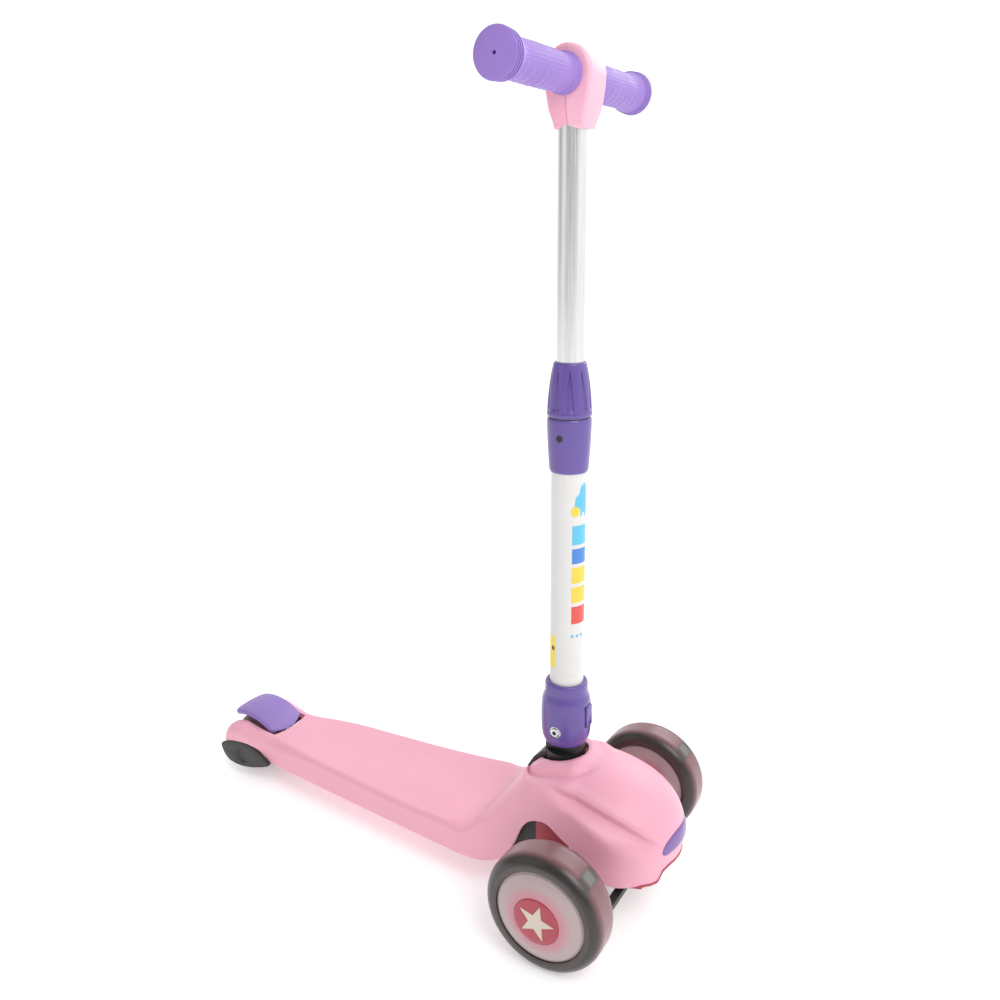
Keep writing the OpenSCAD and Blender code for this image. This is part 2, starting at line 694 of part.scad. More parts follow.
collar_gap = 1.6;      // open ring between the two collars
screw_hole_z = collar_z - 19;
module lower_collar() color(purple) in_place() difference() {
    rotate_extrude() polygon([
        [outer_tube_r, collar_z - lower_collar_len], [18.2, collar_z - lower_collar_len],
        [18.9, collar_z - lower_collar_len + 3], [20.3, collar_z - 28], [21, collar_z - 10], [21, collar_z - 3],
        [20.2, collar_z - collar_gap], [outer_tube_r, collar_z - collar_gap]
    ]);
    translate([0, 0, screw_hole_z]) along_y(-30, 0, 2);
    translate([0, 0, screw_hole_z]) along_y(-30, -19.3, 3.4);
}

module collar_screw() color(black) in_place() translate([0, 0, screw_hole_z]) difference() {
    union() {
        along_y(-19.4, -outer_tube_r - 0.1, 2);
        along_y(-20.2, -19.3, 3.2);
    }
    hex_y(-21, -19.8, 1.6);
}

module clamp_collet() color("white") in_place() difference() {
    rotate_extrude() polygon([
        [inner_tube_r + run, collar_z - 30], [outer_tube_r - 1.5, collar_z - 30], [outer_tube_r - 1.5, collar_z + 6],
        [16.2, collar_z + 6], [16.2, collar_z + 12], [14, collar_z + 38], [inner_tube_r + run, collar_z + 38]
    ]);
    for (a = [0, 60, 120]) rotate([0, 0, a]) translate([-30, -0.6, collar_z + 14]) cube([60, 1.2, 40]);
}

module hinge_bolt() color(steel) in_place() translate([0, 0, fold_z]) difference() {
    union() {
        along_y(-22.1, 25, bolt_r);
        along_y(-23.2, -22, 6.2);
        along_y(-26.2, -23.1, 5.2);
    }
    hex_y(-27, -24, 2.6);
}

module hinge_nut() color(steel) in_place() translate([0, 0, fold_z]) difference() {
    hex_y(22, 26, 6.7);
    along_y(20, 30, bolt_r);
}

module button_spring() color(steel) in_place()
    translate([21.1, 0, button_z - 3]) rotate([0, 90, 0]) coil(2.4, 0.3, 3, button_back - 21.1);

module release_button() color(purple) in_place() difference() {
    union() {
        translate([button_back, -6, button_z - 11]) cube([button_face - button_back, 12, 22]);
        translate([0, 0, button_z + 6]) along_x(12, button_back + 1, 2.2 - run);
    }
    for (z = [-6, -2, 2]) translate([button_face - 0.6, -4, button_z + z - 0.5]) cube([3, 8, 1]);
}

twist_profile = [
    [outer_tube_r + 0.5, 0], [20.6, 0], [21.2, 0.8], [21.2, 3.6], [20.5, 5], [20.3, 12], [19.6, 21], [17.9, 35],
    [15.8, 46.5], [14.8, twist_len], [13.2, twist_len], [13.2, 43], [14.4, 41.5], [16.6, 12.5],
    [outer_tube_r + 0.5, 11]
];
module twist_collar() color(purple) in_place() translate([0, 0, collar_z]) difference() {
    rotate_extrude() polygon(twist_profile);
    for (a = [0:40:320]) rotate([0, 0, a]) translate([22.6, 0, 8]) rotate([0, -6.5, 0]) cylinder(h = 60, r = 3);
}

// --------------------------------------------------------------- handlebar

inner_low = 385;

module inner_tube() color([0.82, 0.83, 0.85]) in_place() translate([0, 0, inner_low]) difference() {
    cylinder(h = bar_z - bar_r - 0.2 - inner_low, r = inner_tube_r);
    translate([0, 0, -1]) cylinder(h = 500, r = inner_tube_r - 1.4);
}

module tube_bush() color(black) in_place() translate([0, 0, inner_low - 10]) difference() {
    union() {
        cylinder(h = 10, r = outer_tube_r - 1.5 - run);
        translate([0, 0, 9]) cylinder(h = 22, r = inner_tube_r - 1.4);
    }
    translate([0, 0, -1]) cylinder(h = 40, r = 7);
}

tube_end = bar_half - 7;
module cross_tube() color(steel) in_place() translate([0, 0, bar_z]) difference() {
    along_y(-tube_end, tube_end, bar_r);
    along_y(-tube_end - 1, tube_end + 1, bar_r - 1.3);
}

head_low = 745;
head_half = 17;
head_r = 24.5;
head_top = bar_z + head_r;
screw_z = [head_low + 21, bar_z + 17.5];
function head_arc(a0, a1) = [for (a = [a0:10:a1]) [head_r * cos(a), bar_z + head_r * sin(a)]];

// Seen from the side the head is a rounded block, and its foot narrows all round towards the tube
head_side = concat(
    [[-15, head_low], [17, head_low], [20.5, head_low + 15]], head_arc(-20, 100),
    [[-12, head_top - 5], [-18.5, bar_z + 12], [-20.5, bar_z], [-19.5, bar_z - 12], [-16.5, head_low + 15]]
);
module head_foot() rotate_extrude() polygon([
    [0, head_low - 1], [16.2, head_low - 1], [17, head_low + 2], [28, head_low + 22], [40, head_low + 55],
    [40, head_top + 1], [0, head_top + 1]
]);

module head_block() difference() {
    intersection() {
        slab_y(head_side, -head_half, head_half);
        head_foot();
    }
    translate([0, 0, bar_z]) along_y(-30, 30, bar_r);
    translate([0, 0, head_low - 1]) cylinder(h = bar_z - head_low, r = inner_tube_r);
    for (s = [-1, 1]) translate([0, s * 14.8, screw_z[0]]) along_x(-40, 12, 1.5);
    translate([0, 0, screw_z[1]]) along_x(-40, 12, 1.5);
}

module head_front_cover() color(light_pink) in_place() intersection() {
    head_block();
    translate([0, -50, head_low - 10]) cube([60, 100, 100]);
}

module head_rear_cover() color(pink) in_place() intersection() {
    head_block();
    translate([-60, -50, head_low - 10]) cube([60, 100, 100]);
}

module head_screw(y, z) translate([0, y, z]) {
    along_x(-13, 11, 1.5);
}
module head_screws() color(steel) in_place() {
    for (s = [-1, 1]) head_screw(s * 14.8, screw_z[0]);
    head_screw(0, screw_z[1]);
}

grip_start = head_half + 0.3;
module grip() color(light_purple) in_place() translate([0, 0, bar_z]) turned_y([
    [bar_r, grip_start], [17, grip_start], [17, grip_start + 2.5], [15.6, grip_start + 4], [14.6, grip_start + 9],
    [15.2, bar_half - 20], [17.6, bar_half - 12.5], [18.6, bar_half - 11.5], [grip_flange_r, bar_half - 8],
    [grip_flange_r, bar_half - 3.5], [17.5, bar_half - 1.2], [12, bar_half - 0.3], [1.5, bar_half],
    [1.5, bar_half - 5], [bar_r, bar_half - 6.9]
]);
module grip_left() grip();
module grip_right() right_hand() grip();

// ---------------------------------------------------------------- drawing

deck_shell();
under_cover();
nose_badge();
pivot_bracket();
bracket_bolts();
stem_socket();
pivot_bolt();
spring_left();
spring_right();
rear_cover_left();
rear_cover_right();
cover_screws();
rear_axle();
lock_nuts();
axle_spacers();
brake_pin();
brake_spring();
axle_beam();
kingpins();
tie_rod();
knuckle_left();
axle_bolt_left();
knuckle_right();
axle_bolt_right();
tyre_left();
hub_left();
face_plate_left();
star_disc_left();
bearings_left();
lights_left();
tyre_right();
hub_right();
face_plate_right();
star_disc_right();
bearings_right();
lights_right();
rear_tyre();
rear_hub();
rear_bearings();
brake_fender();
brake_pad();
hinge_sleeve();
outer_tube();
lower_collar();
collar_screw();
clamp_collet();
hinge_bolt();
hinge_nut();
button_spring();
release_button();
twist_collar();
inner_tube();
tube_bush();
cross_tube();
head_front_cover();
head_rear_cover();
head_screws();
grip_left();
grip_right();
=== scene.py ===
import math

import bmesh
import bpy
import numpy as np
from mathutils import Matrix, Vector


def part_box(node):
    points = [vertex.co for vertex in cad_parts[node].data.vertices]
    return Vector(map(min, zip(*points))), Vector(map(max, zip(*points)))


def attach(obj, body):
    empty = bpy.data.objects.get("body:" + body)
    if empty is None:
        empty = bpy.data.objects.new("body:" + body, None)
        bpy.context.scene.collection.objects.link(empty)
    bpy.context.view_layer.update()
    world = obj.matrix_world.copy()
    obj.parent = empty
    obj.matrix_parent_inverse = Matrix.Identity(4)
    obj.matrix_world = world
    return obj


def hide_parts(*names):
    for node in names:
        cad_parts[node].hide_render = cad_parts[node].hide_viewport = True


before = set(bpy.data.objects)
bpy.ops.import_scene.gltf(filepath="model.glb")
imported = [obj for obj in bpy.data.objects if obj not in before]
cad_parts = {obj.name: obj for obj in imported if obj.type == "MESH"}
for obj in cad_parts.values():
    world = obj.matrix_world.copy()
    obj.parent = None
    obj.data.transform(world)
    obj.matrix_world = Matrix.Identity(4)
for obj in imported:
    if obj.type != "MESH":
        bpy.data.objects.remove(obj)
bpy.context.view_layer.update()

# Lengths are millimetres, and x is measured forward from the stem's axis, until place() makes them metres.
MM = 0.001


def middle(node):
    """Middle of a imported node, in millimetres."""
    low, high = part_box(node)
    return (low + high) / 2 / MM


STEM_X = middle("outer_tube").x
FRONT_AXLE = middle("tyre_left").x - STEM_X
FRONT_R = middle("tyre_left").z
WHEEL_Y = middle("tyre_left").y
REAR_AXLE = middle("rear_tyre").x - STEM_X
REAR_R = middle("rear_tyre").z
BAR_Z = middle("cross_tube").z
COLLAR_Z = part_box("twist_collar")[0].z / MM
TWIST_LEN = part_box("twist_collar")[1].z / MM - COLLAR_Z


# ------------------------------------------------------------ small geometry tools

def place(points):
    """Points in millimetres from the stem's axis, as metres in the shared frame."""
    return (np.asarray(points, float) + (STEM_X, 0, 0)) * MM


def smooth(t):
    """Eases from 0 to 1."""
    t = np.clip(t, 0, 1)
    return t * t * (3 - 2 * t)


def between(value, a, b):
    return smooth((value - a) / (b - a))


def follow(x, points):
    """Height of a smooth line through given points [x, value]."""
    xs, vs = np.array(points, float).T
    slopes = np.gradient(vs, xs)
    i = np.clip(np.searchsorted(xs, x) - 1, 0, len(xs) - 2)
    h = xs[i + 1] - xs[i]
    t = np.clip((x - xs[i]) / h, 0, 1)
    return ((1 + 2 * t) * (1 - t) ** 2 * vs[i] + t * (1 - t) ** 2 * h * slopes[i]
            + t * t * (3 - 2 * t) * vs[i + 1] + t * t * (t - 1) * h * slopes[i + 1])


def rounded(points, steps=5):
    """A 2-D line whose corners [a, b, reach] are turned into small curves."""
    pts = [np.array(p[:2], float) for p in points]
    out = [pts[0]]
    for i in range(1, len(pts) - 1):
        reach = points[i][2] if len(points[i]) > 2 else 0
        before, after = pts[i - 1] - pts[i], pts[i + 1] - pts[i]
        reach = min(reach, 0.49 * np.linalg.norm(before), 0.49 * np.linalg.norm(after))
        if reach < 0.01:
            out.append(pts[i])
            continue
        a = pts[i] + before / np.linalg.norm(before) * reach
        b = pts[i] + after / np.linalg.norm(after) * reach
        for t in np.linspace(0, 1, steps + 1):
            out.append((1 - t) ** 2 * a + 2 * t * (1 - t) * pts[i] + t * t * b)
    out.append(pts[-1])
    return out


def grid_faces(rows, cols, wrap_rows=False, wrap_cols=False):
    """Four-sided faces between rows of points."""
    faces = []
    for i in range(rows if wrap_rows else rows - 1):
        for j in range(cols if wrap_cols else cols - 1):
            a, b = i * cols, (i + 1) % rows * cols
            k = (j + 1) % cols
            faces.append((a + j, a + k, b + k, b + j))
    return faces


def build(name, points, faces):
    """A bare mesh object, welded, with its normals turned outwards."""
    mesh = bpy.data.meshes.new(name)
    mesh.from_pydata(place(points).tolist(), [], faces)
    work = bmesh.new()
    work.from_mesh(mesh)
    bmesh.ops.remove_doubles(work, verts=work.verts, dist=2e-6)
    bmesh.ops.recalc_face_normals(work, faces=work.faces)
    work.to_mesh(mesh)
    work.free()
    piece = bpy.data.objects.new(name, mesh)
    bpy.context.scene.collection.objects.link(piece)
    return piece


def bake_modifiers(piece):
    """Applies every modifier to the mesh."""
    bpy.context.view_layer.update()
    final = bpy.data.meshes.new_from_object(piece.evaluated_get(bpy.context.evaluated_depsgraph_get()))
    piece.modifiers.clear()
    piece.data = final


def cut(piece, *cutters, solver="EXACT"):
    """Takes closed cutter pieces away from a piece and removes them."""
    for cutter in cutters:
        change = piece.modifiers.new("cut", "BOOLEAN")
        change.object = cutter
        change.operation = "DIFFERENCE"
        change.solver = solver
    bake_modifiers(piece)
    for cutter in cutters:
        bpy.data.objects.remove(cutter)


def finish_piece(piece, material, body, nodes=(), sharp=38):
    """Gives a piece its look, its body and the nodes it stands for."""
    piece.data.materials.clear()
    piece.data.materials.append(material)
    piece.data.shade_smooth()
    piece.data.set_sharp_from_angle(angle=math.radians(sharp))
    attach(piece, body)
    if nodes:
        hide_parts(*nodes)
    return piece


def lathe_points(profile, axis, centre, steps=96, shape=None):
    """Rings of a turned shape. A profile point is [radius, height along the axis]."""
    points = []
    for k in range(steps):
        angle = 2 * math.pi * k / steps
        for radius, height in profile:
            r = shape(radius, height, angle) if shape else radius
            a, b = r * math.cos(angle), r * math.sin(angle)
            points.append((a, b, height) if axis == "z" else (a, height, b))
    return np.array(points) + centre


def lathe(name, profile, axis, centre, steps=96, shape=None, closed=True):
    rows = lathe_points(profile, axis, centre, steps, shape)
    return build(name, rows, grid_faces(steps, len(profile), wrap_rows=True, wrap_cols=closed))


def prism(name, outline, start, end, axis="z"):
    """A closed block whose outline is in [x, y], or in [x, z] where it runs along y."""
    n = len(outline)
    points = [(a, b, c) if axis == "z" else (a, c, b) for c in (start, end) for a, b in outline]
    faces = [tuple(range(n)), tuple(range(2 * n - 1, n - 1, -1))]
    faces += [(i, n + i, n + (i + 1) % n, (i + 1) % n) for i in range(n)]
    return build(name, points, faces)


def prism_y(name, outline, start, end):
    return prism(name, outline, start, end, "y")


def tube_faces(rings, count):
    """Faces of a closed body made of rings with the same count of points, with a flat end on each."""
    last = rings * count
    ends = [tuple(range(count)), tuple(range(last - 1, last - count - 1, -1))]
    return grid_faces(rings, count, wrap_cols=True) + ends


def quarter(steps):
    """Angles from 0 to 90 degrees, in radians."""
    return np.radians(np.linspace(0, 90, steps))


def bar_y(name, x, z, r, y0, y1, steps=32):
    """A closed round bar along Y."""
    profile = [(0, y0), (r, y0), (r, y1), (0, y1)]
    return lathe(name, profile, "y", (x, 0, z), steps, closed=False)


def arc(cx, cy, r, a0, a1, steps=8):
    """Points on part of a circle, between two angles in degrees."""
    return [(cx + r * math.cos(a), cy + r * math.sin(a)) for a in np.radians(np.linspace(a0, a1, steps + 1))]


def mirrored(piece, name):
    """The same piece on the other side of the middle."""
    other = piece.copy()
    other.data = piece.data.copy()
    other.name = name
    bpy.context.scene.collection.objects.link(other)
    for v in other.data.vertices:
        v.co.y = -v.co.y
    other.data.flip_normals()
    return other


# ------------------------------------------------------------------- materials

class Nodes:
    """Short hand for making shader nodes."""

    def __init__(self, name):
        self.material = bpy.data.materials.new(name)
        self.material.use_nodes = True
        self.tree = self.material.node_tree
        self.shader = self.tree.nodes["Principled BSDF"]
        self.place = self.add("ShaderNodeTexCoord").outputs["Object"]

    def add(self, kind, **settings):
        node = self.tree.nodes.new(kind)
        for key, value in settings.items():
            setattr(node, key, value)
        return node

    def put(self, value, socket):
        if isinstance(value, bpy.types.NodeSocket):
            self.tree.links.new(value, socket)
        else:
            socket.default_value = value

    def set(self, **values):
        """Sets plain values on the shader, named like its sockets with _ for a space."""
        for key, value in values.items():
            self.shader.inputs[key.replace("_", " ")].default_value = value

    def feed(self, colour=None, roughness=None, normal=None):
        """Links the three things that most surfaces vary."""
        for name, value in (("Base Color", colour), ("Roughness", roughness), ("Normal", normal)):
            if value is not None:
                self.put(value, self.shader.inputs[name])

    def maths(self, operation, a, b=0.0, c=0.0):
        node = self.add("ShaderNodeMath", operation=operation)
        for value, socket in zip((a, b, c), node.inputs):
            self.put(value, socket)
        return node.outputs[0]

    def noise(self, scale, detail=3.0, rough=0.5, vector=None):
        node = self.add("ShaderNodeTexNoise")
        self.put(self.place if vector is None else vector, node.inputs["Vector"])
        node.inputs["Scale"].default_value = scale
        node.inputs["Detail"].default_value = detail
        node.inputs["Roughness"].default_value = rough
        return node.outputs["Fac"]

    def ramp(self, value, stops):
        node = self.add("ShaderNodeValToRGB")
        self.put(value, node.inputs[0])
        bar = node.color_ramp.elements
        while len(bar) < len(stops):
            bar.new(0.5)
        for element, (position, colour) in zip(bar, stops):
            element.position = position
            element.color = (*colour, 1) if len(colour) == 3 else colour
        return node.outputs[0]

    def tint(self, scale, detail, low, high):
        """A colour that drifts between two shades."""
        return self.ramp(self.noise(scale, detail), [(0.3, low), (0.7, high)])

    def vary(self, scale, detail, low, high, rough=0.5):
        """A number that drifts between two values."""
        return self.map(self.noise(scale, detail, rough), 0.3, 0.7, low, high)

    def mix(self, factor, a, b):
        node = self.add("ShaderNodeMix", data_type="RGBA")
        self.put(factor, node.inputs[0])
        self.put((*a, 1) if isinstance(a, tuple) else a, node.inputs[6])
        self.put((*b, 1) if isinstance(b, tuple) else b, node.inputs[7])
        return node.outputs[2]

    def map(self, value, a, b, c, d):
        node = self.add("ShaderNodeMapRange")
        for v, socket in zip((value, a, b, c, d), node.inputs):
            self.put(v, socket)
        return node.outputs[0]

    def bump(self, height, strength, distance, normal=None):
        node = self.add("ShaderNodeBump")
        node.inputs["Strength"].default_value = strength
        node.inputs["Distance"].default_value = distance * MM
        self.put(height, node.inputs["Height"])
        if normal is not None:
            self.put(normal, node.inputs["Normal"])
        return node.outputs["Normal"]

    def split(self, vector=None):
        node = self.add("ShaderNodeSeparateXYZ")
        self.put(self.place if vector is None else vector, node.inputs[0])
        return node.outputs


def shade(colour, amount):
    """A lighter or darker version of a colour."""
    return tuple(min(1.0, c * amount) for c in colour)


def plastic(name, colour, roughness=0.4, grain=1.0, coat=0.0, glow=0.0, uneven=0.05):
    """Moulded plastic: fine spark-eroded grain, slight flow marks and an uneven gloss."""
    n = Nodes(name)
    n.feed(n.tint(14, 4, shade(colour, 1 - uneven), shade(colour, 1 + uneven)),
           n.vary(38, 5, roughness - 0.02, roughness + 0.03, 0.6),
           n.bump(n.noise(900, 1), 0.05 * grain, 0.04))
    n.set(Coat_Weight=coat, Coat_Roughness=0.15)
    if glow:
        n.set(Subsurface_Weight=glow, Subsurface_Radius=(1.0, 0.5, 0.5), Subsurface_Scale=3 * MM)
    return n.material


def metal(name, colour, roughness, stretch=(1, 1, 1), line_scale=700, strength=0.12):
    """Metal with fine ground lines, drawn out along an axis where stretch is small."""
    n = Nodes(name)
    scale = n.add("ShaderNodeVectorMath", operation="MULTIPLY")
    n.put(n.place, scale.inputs[0])
    scale.inputs[1].default_value = stretch
    lines = n.noise(line_scale, 3, 0.6, scale.outputs[0])
    n.feed(n.ramp(lines, [(0.25, shade(colour, 0.9)), (0.75, shade(colour, 1.06))]),
           n.map(lines, 0.3, 0.7, roughness - 0.05, roughness + 0.07), n.bump(lines, strength, 0.03))
    n.set(Metallic=1.0)
    return n.material


PINK = (0.86, 0.405, 0.52)
PURPLE = (0.12, 0.072, 0.315)
GRIP = (0.30, 0.18, 0.56)
FENDER = (0.27, 0.175, 0.50)
RED = (0.42, 0.04, 0.065)
DARK = (0.027, 0.027, 0.025)
BLACK = (0.02, 0.02, 0.02)

pink_plastic = plastic("pink_plastic", PINK, 0.42, 1.0, glow=0.06, uneven=0.025)
purple_plastic = plastic("purple_plastic", PURPLE, 0.3, 0.4, coat=0.25, uneven=0.015)
fender_plastic = plastic("fender_plastic", FENDER, 0.42, 1.2, uneven=0.04)
badge_plastic = plastic("badge_plastic", (0.205, 0.11, 0.35), 0.32, 0.5, coat=0.1)
red_plastic = plastic("red_plastic", RED, 0.38, 0.8)
dark_plastic = plastic("dark_plastic", DARK, 0.5, 1.6, uneven=0.15)
black_plastic = plastic("black_plastic", BLACK, 0.38, 1.4, uneven=0.15)
collet_plastic = plastic("collet_plastic", (0.7, 0.69, 0.66), 0.45)
light_plastic = plastic("light_plastic", (0.03, 0.03, 0.032), 0.25, 0.5, coat=0.3)
star_red = plastic("star_red", (0.40, 0.032, 0.06), 0.3, 0.4, coat=0.3)
star_cream = plastic("star_cream", (0.64, 0.56, 0.47), 0.35, 0.4, uneven=0.03)
zinc = metal("zinc_steel", (0.66, 0.66, 0.67), 0.28)
dark_steel = metal("dark_steel", (0.06, 0.06, 0.065), 0.35)
spring_steel = metal("spring_wire", (0.45, 0.46, 0.48), 0.3, line_scale=600)


def painted_material():
    """White glossy paint with a slight orange peel."""
    n = Nodes("white_paint")
    n.feed(n.tint(9, 3, (0.70, 0.69, 0.67), (0.73, 0.72, 0.705)), n.vary(60, 3, 0.27, 0.30),
           n.bump(n.noise(300, 1), 0.015, 0.04))
    n.set(Coat_Weight=0.2, Coat_Roughness=0.1)
    return n.material


def grip_material():
    """Soft dull rubber with a fine grain."""
    n = Nodes("grip_rubber")
    n.feed(n.tint(30, 4, shade(GRIP, 0.95), shade(GRIP, 1.05)), n.vary(90, 4, 0.42, 0.55),
           n.bump(n.noise(1800, 2), 0.15, 0.05))
    n.set(Sheen_Weight=0.15, Sheen_Roughness=0.4)
    return n.material


head_light = plastic("head_light_pink", (0.87, 0.46, 0.57), 0.34, 0.8, glow=0.05, uneven=0.02)
white_paint = painted_material()
aluminium = metal("drawn_aluminium", (0.80, 0.80, 0.81), 0.3, (1, 1, 0.02), strength=0.015)
grip_rubber = grip_material()


def wheel_field(n, axle_x, axle_z):
    """Distance from the axle's line, and the place across the wheel, in millimetres."""
    x, y, z = n.split()
    dx = n.maths("MULTIPLY_ADD", x, 1 / MM, -(STEM_X + axle_x))
    dz = n.maths("MULTIPLY_ADD", z, 1 / MM, -axle_z)
    radius = n.maths("SQRT", n.maths("ADD", n.maths("MULTIPLY", dx, dx), n.maths("MULTIPLY", dz, dz)))
    across = n.maths("SUBTRACT", n.maths("ABSOLUTE", n.maths("MULTIPLY", y, 1 / MM)), WHEEL_Y)
    return dx, dz, radius, across


def soft_window(n, value, half, edge):
    """1 inside +-half, falling to 0 over edge."""
    return n.map(n.maths("ABSOLUTE", value), half + edge, half, 0.0, 1.0)


def tyre_material():
    """Smoky translucent polyurethane: pale over the tread, dark down the sides, with light modules inside."""
    n = Nodes("smoky_tyre")
    dx, dz, radius, across = wheel_field(n, FRONT_AXLE, FRONT_R)
    side = n.map(n.maths("ABSOLUTE", across), 8.0, 17.0, 0.0, 1.0)
    low = n.map(radius, 57.5, 50.0, 0.0, 1.0)
    depth = n.maths("MAXIMUM", n.maths("MULTIPLY", side, 0.75), low)
    wavy = n.maths("ADD", depth, n.maths("MULTIPLY_ADD", n.noise(20, 3), 0.3, -0.15))
    colour = n.ramp(wavy, [(0.0, (0.22, 0.10, 0.11)), (0.3, (0.15, 0.063, 0.07)),
                           (0.6, (0.036, 0.025, 0.024)), (0.85, (0.02, 0.016, 0.015)),
                           (1.0, (0.06, 0.04, 0.04))])
    for k in range(3):
        turn = math.radians(48 + 120 * k)
        dx_cos, dx_sin = n.maths("MULTIPLY", dx, math.cos(turn)), n.maths("MULTIPLY", dx, math.sin(turn))
        dz_cos, dz_sin = n.maths("MULTIPLY", dz, math.cos(turn)), n.maths("MULTIPLY", dz, math.sin(turn))
        out = n.maths("ADD", dx_cos, dz_sin)
        along = n.maths("SUBTRACT", dz_cos, dx_sin)
        near = n.map(out, 30.0, 36.0, 0.0, 1.0)
        block = n.maths("MULTIPLY", n.maths("MULTIPLY", near, soft_window(n, along, 5.5, 3.5)),
                        soft_window(n, across, 13.0, 4.0))
        lamp = n.maths("MULTIPLY", n.maths("MULTIPLY", near, soft_window(n, along, 4.5, 3.0)),
                       soft_window(n, across, 4.0, 3.5))
        colour = n.mix(n.maths("MULTIPLY", block, 0.8), colour, (0.055, 0.052, 0.05))
        colour = n.mix(n.maths("MULTIPLY", lamp, 0.75), colour, (0.21, 0.21, 0.20))
    n.feed(colour, n.vary(45, 4, 0.26, 0.38), n.bump(n.noise(700, 2), 0.05, 0.05))
    n.set(Subsurface_Weight=0.15, Subsurface_Radius=(1.0, 0.6, 0.6), Subsurface_Scale=4 * MM)
    n.set(Coat_Weight=0.2, Coat_Roughness=0.22)
    return n.material


def rear_tyre_material():
    """The same smoky polyurethane, plainer and darker."""
    n = Nodes("rear_tyre_smoke")
    n.feed(n.tint(40, 4, (0.10, 0.062, 0.063), (0.15, 0.095, 0.095)), n.vary(60, 3, 0.3, 0.42),
           n.bump(n.noise(700, 2), 0.08, 0.05))
    n.set(Coat_Weight=0.25)
    return n.material


def face_material():
    """Greyish pink wheel face that turns pinker towards the star disc."""
    n = Nodes("wheel_face")
    radius = wheel_field(n, FRONT_AXLE, FRONT_R)[2]
    wobble = n.maths("ADD", radius, n.maths("MULTIPLY_ADD", n.noise(35, 3), 5.0, -2.5))
    colour = n.ramp(n.maths("DIVIDE", wobble, 45), [(0.5, (0.54, 0.20, 0.25)), (0.62, (0.52, 0.25, 0.29)),
                                                    (0.74, (0.45, 0.33, 0.34)), (1.0, (0.43, 0.35, 0.35))])
    n.feed(colour, n.vary(50, 3, 0.26, 0.38), n.bump(n.noise(1500, 2), 0.06, 0.05))
    n.set(Coat_Weight=0.25)
    return n.material


smoky_tyre = tyre_material()
rear_smoke = rear_tyre_material()
wheel_face = face_material()


# ------------------------------------------------------------- deck and hood

HALF = 70.0            # half of the hood's width
NOSE_X = 128.0
NOSE_POWER = 3.0       # how square the nose is, seen from above
FORK_HALF = 45.0
FORK_END = 469.0       # how far back the fork arms reach
FORK_ROUND_X = -430.0  # where their ends start to round off
WALL = 2.8
CROWN_Z = 80.0         # the hood's sides lean in above this height
CROWN_POWER = 2.1      # how full the hood's top is
OPENING_R = 24.0       # the stem's opening, and the slot behind it for the socket's fin
SLOT_HALF = 12.5
SLOT_END = -46.0
DECK_ROUND = 6.0       # rounding of the long edges, on the deck and on the fork arms
FORK_ROUND = 13.0


def power_round(u, n, m):
    """Falls from 1 at u = 0 to 0 at u = 1, like a rounded corner."""
    return np.maximum(0, 1 - np.clip(u, 0, None) ** n) ** (1 / m)


# Half widths along the moulding, from the fork to the hood
SIDE_LINE = [(-430, 45), (-412, 44), (-387, 41), (-365, 43.5), (-340, 46), (-200, 59.3), (-110, 67.8),
             (-85, 69.6), (-60, 70), (0, 70)]
# Heights of its top, from the fork over the flat deck and up to the stem
TOP_LINE = [(-430, 69), (-418, 66), (-404, 63.6), (-389, 62), (-340, 62), (-100, 62), (-90, 62.8),
            (-80, 67.5), (-66, 81.5), (-50, 103), (-36, 121.5), (-24, 134.5), (-12, 144), (0, 148.5),
            (12, 150), (20, 150)]
# Heights of its lower edge: over the rear covers, over the wheel arches, and round the nose by half width
COVER_TOP = [(-471, 36), (-463, 38), (-447, 45), (-430, 48), (-412, 47), (-398, 42), (-384, 31)]
ARCH = [(-92, 30), (-60, 34), (-40, 43), (-29, 53), (-21, 72), (-12, 91), (0, 99.5), (12, 100), (28, 91),
        (50, 76.5), (64, 64), (71, 56), (74.5, 51.5), (78, 50), (112, 50)]
RIM = [(-60, 50), (-34, 50), (-32, 50.4), (-29.5, 54), (-27, 60), (-22.5, 63.5), (-9, 66), (0, 66.5)]


def half_width(x):
    """Half width of the moulding, seen from above."""
    if x < FORK_ROUND_X:
        return FORK_HALF * power_round((FORK_ROUND_X - x) / (FORK_END + FORK_ROUND_X), 4, 4)
    if x > 0:
        return HALF * power_round(x / NOSE_X, NOSE_POWER, 2)
    return follow(x, SIDE_LINE)


def top_height(x):
    """Height of the moulding's top along its middle."""
    if x < FORK_ROUND_X:
        return 34 + 35 * power_round((FORK_ROUND_X - x) / (FORK_END + FORK_ROUND_X), 2, 2)
    if x > 20:
        mound = 6 * (1 - smooth((x - 19) / 18))
        return 88 + 56 * power_round((x - 30) / (NOSE_X - 30), 2.1, 2) + mound
    return follow(x, TOP_LINE)


def low_edge(x):
    """Height of the moulding's lower edge: fork, deck, wheel arch, hood rim and mouth."""
    if x < -384:
        return min(follow(x, COVER_TOP), top_height(x) - 1)
    if x < -92:
        return 30
    if x < 112:
        return follow(x, ARCH)
    return rim_height(half_width(x))


def rim_height(half):
    """The hood's rim steps up to a notch at the nose."""
    return follow(-half, RIM)


def nose_tuck(z):
    """How far the nose leans back below the badge."""
    return 3.5 * smooth((90 - z) / 40)


def lean_back(x, z):
    """The place of a point of the skin at x, once the nose leans back."""
    return x - nose_tuck(z) * between(x, 85, 122)


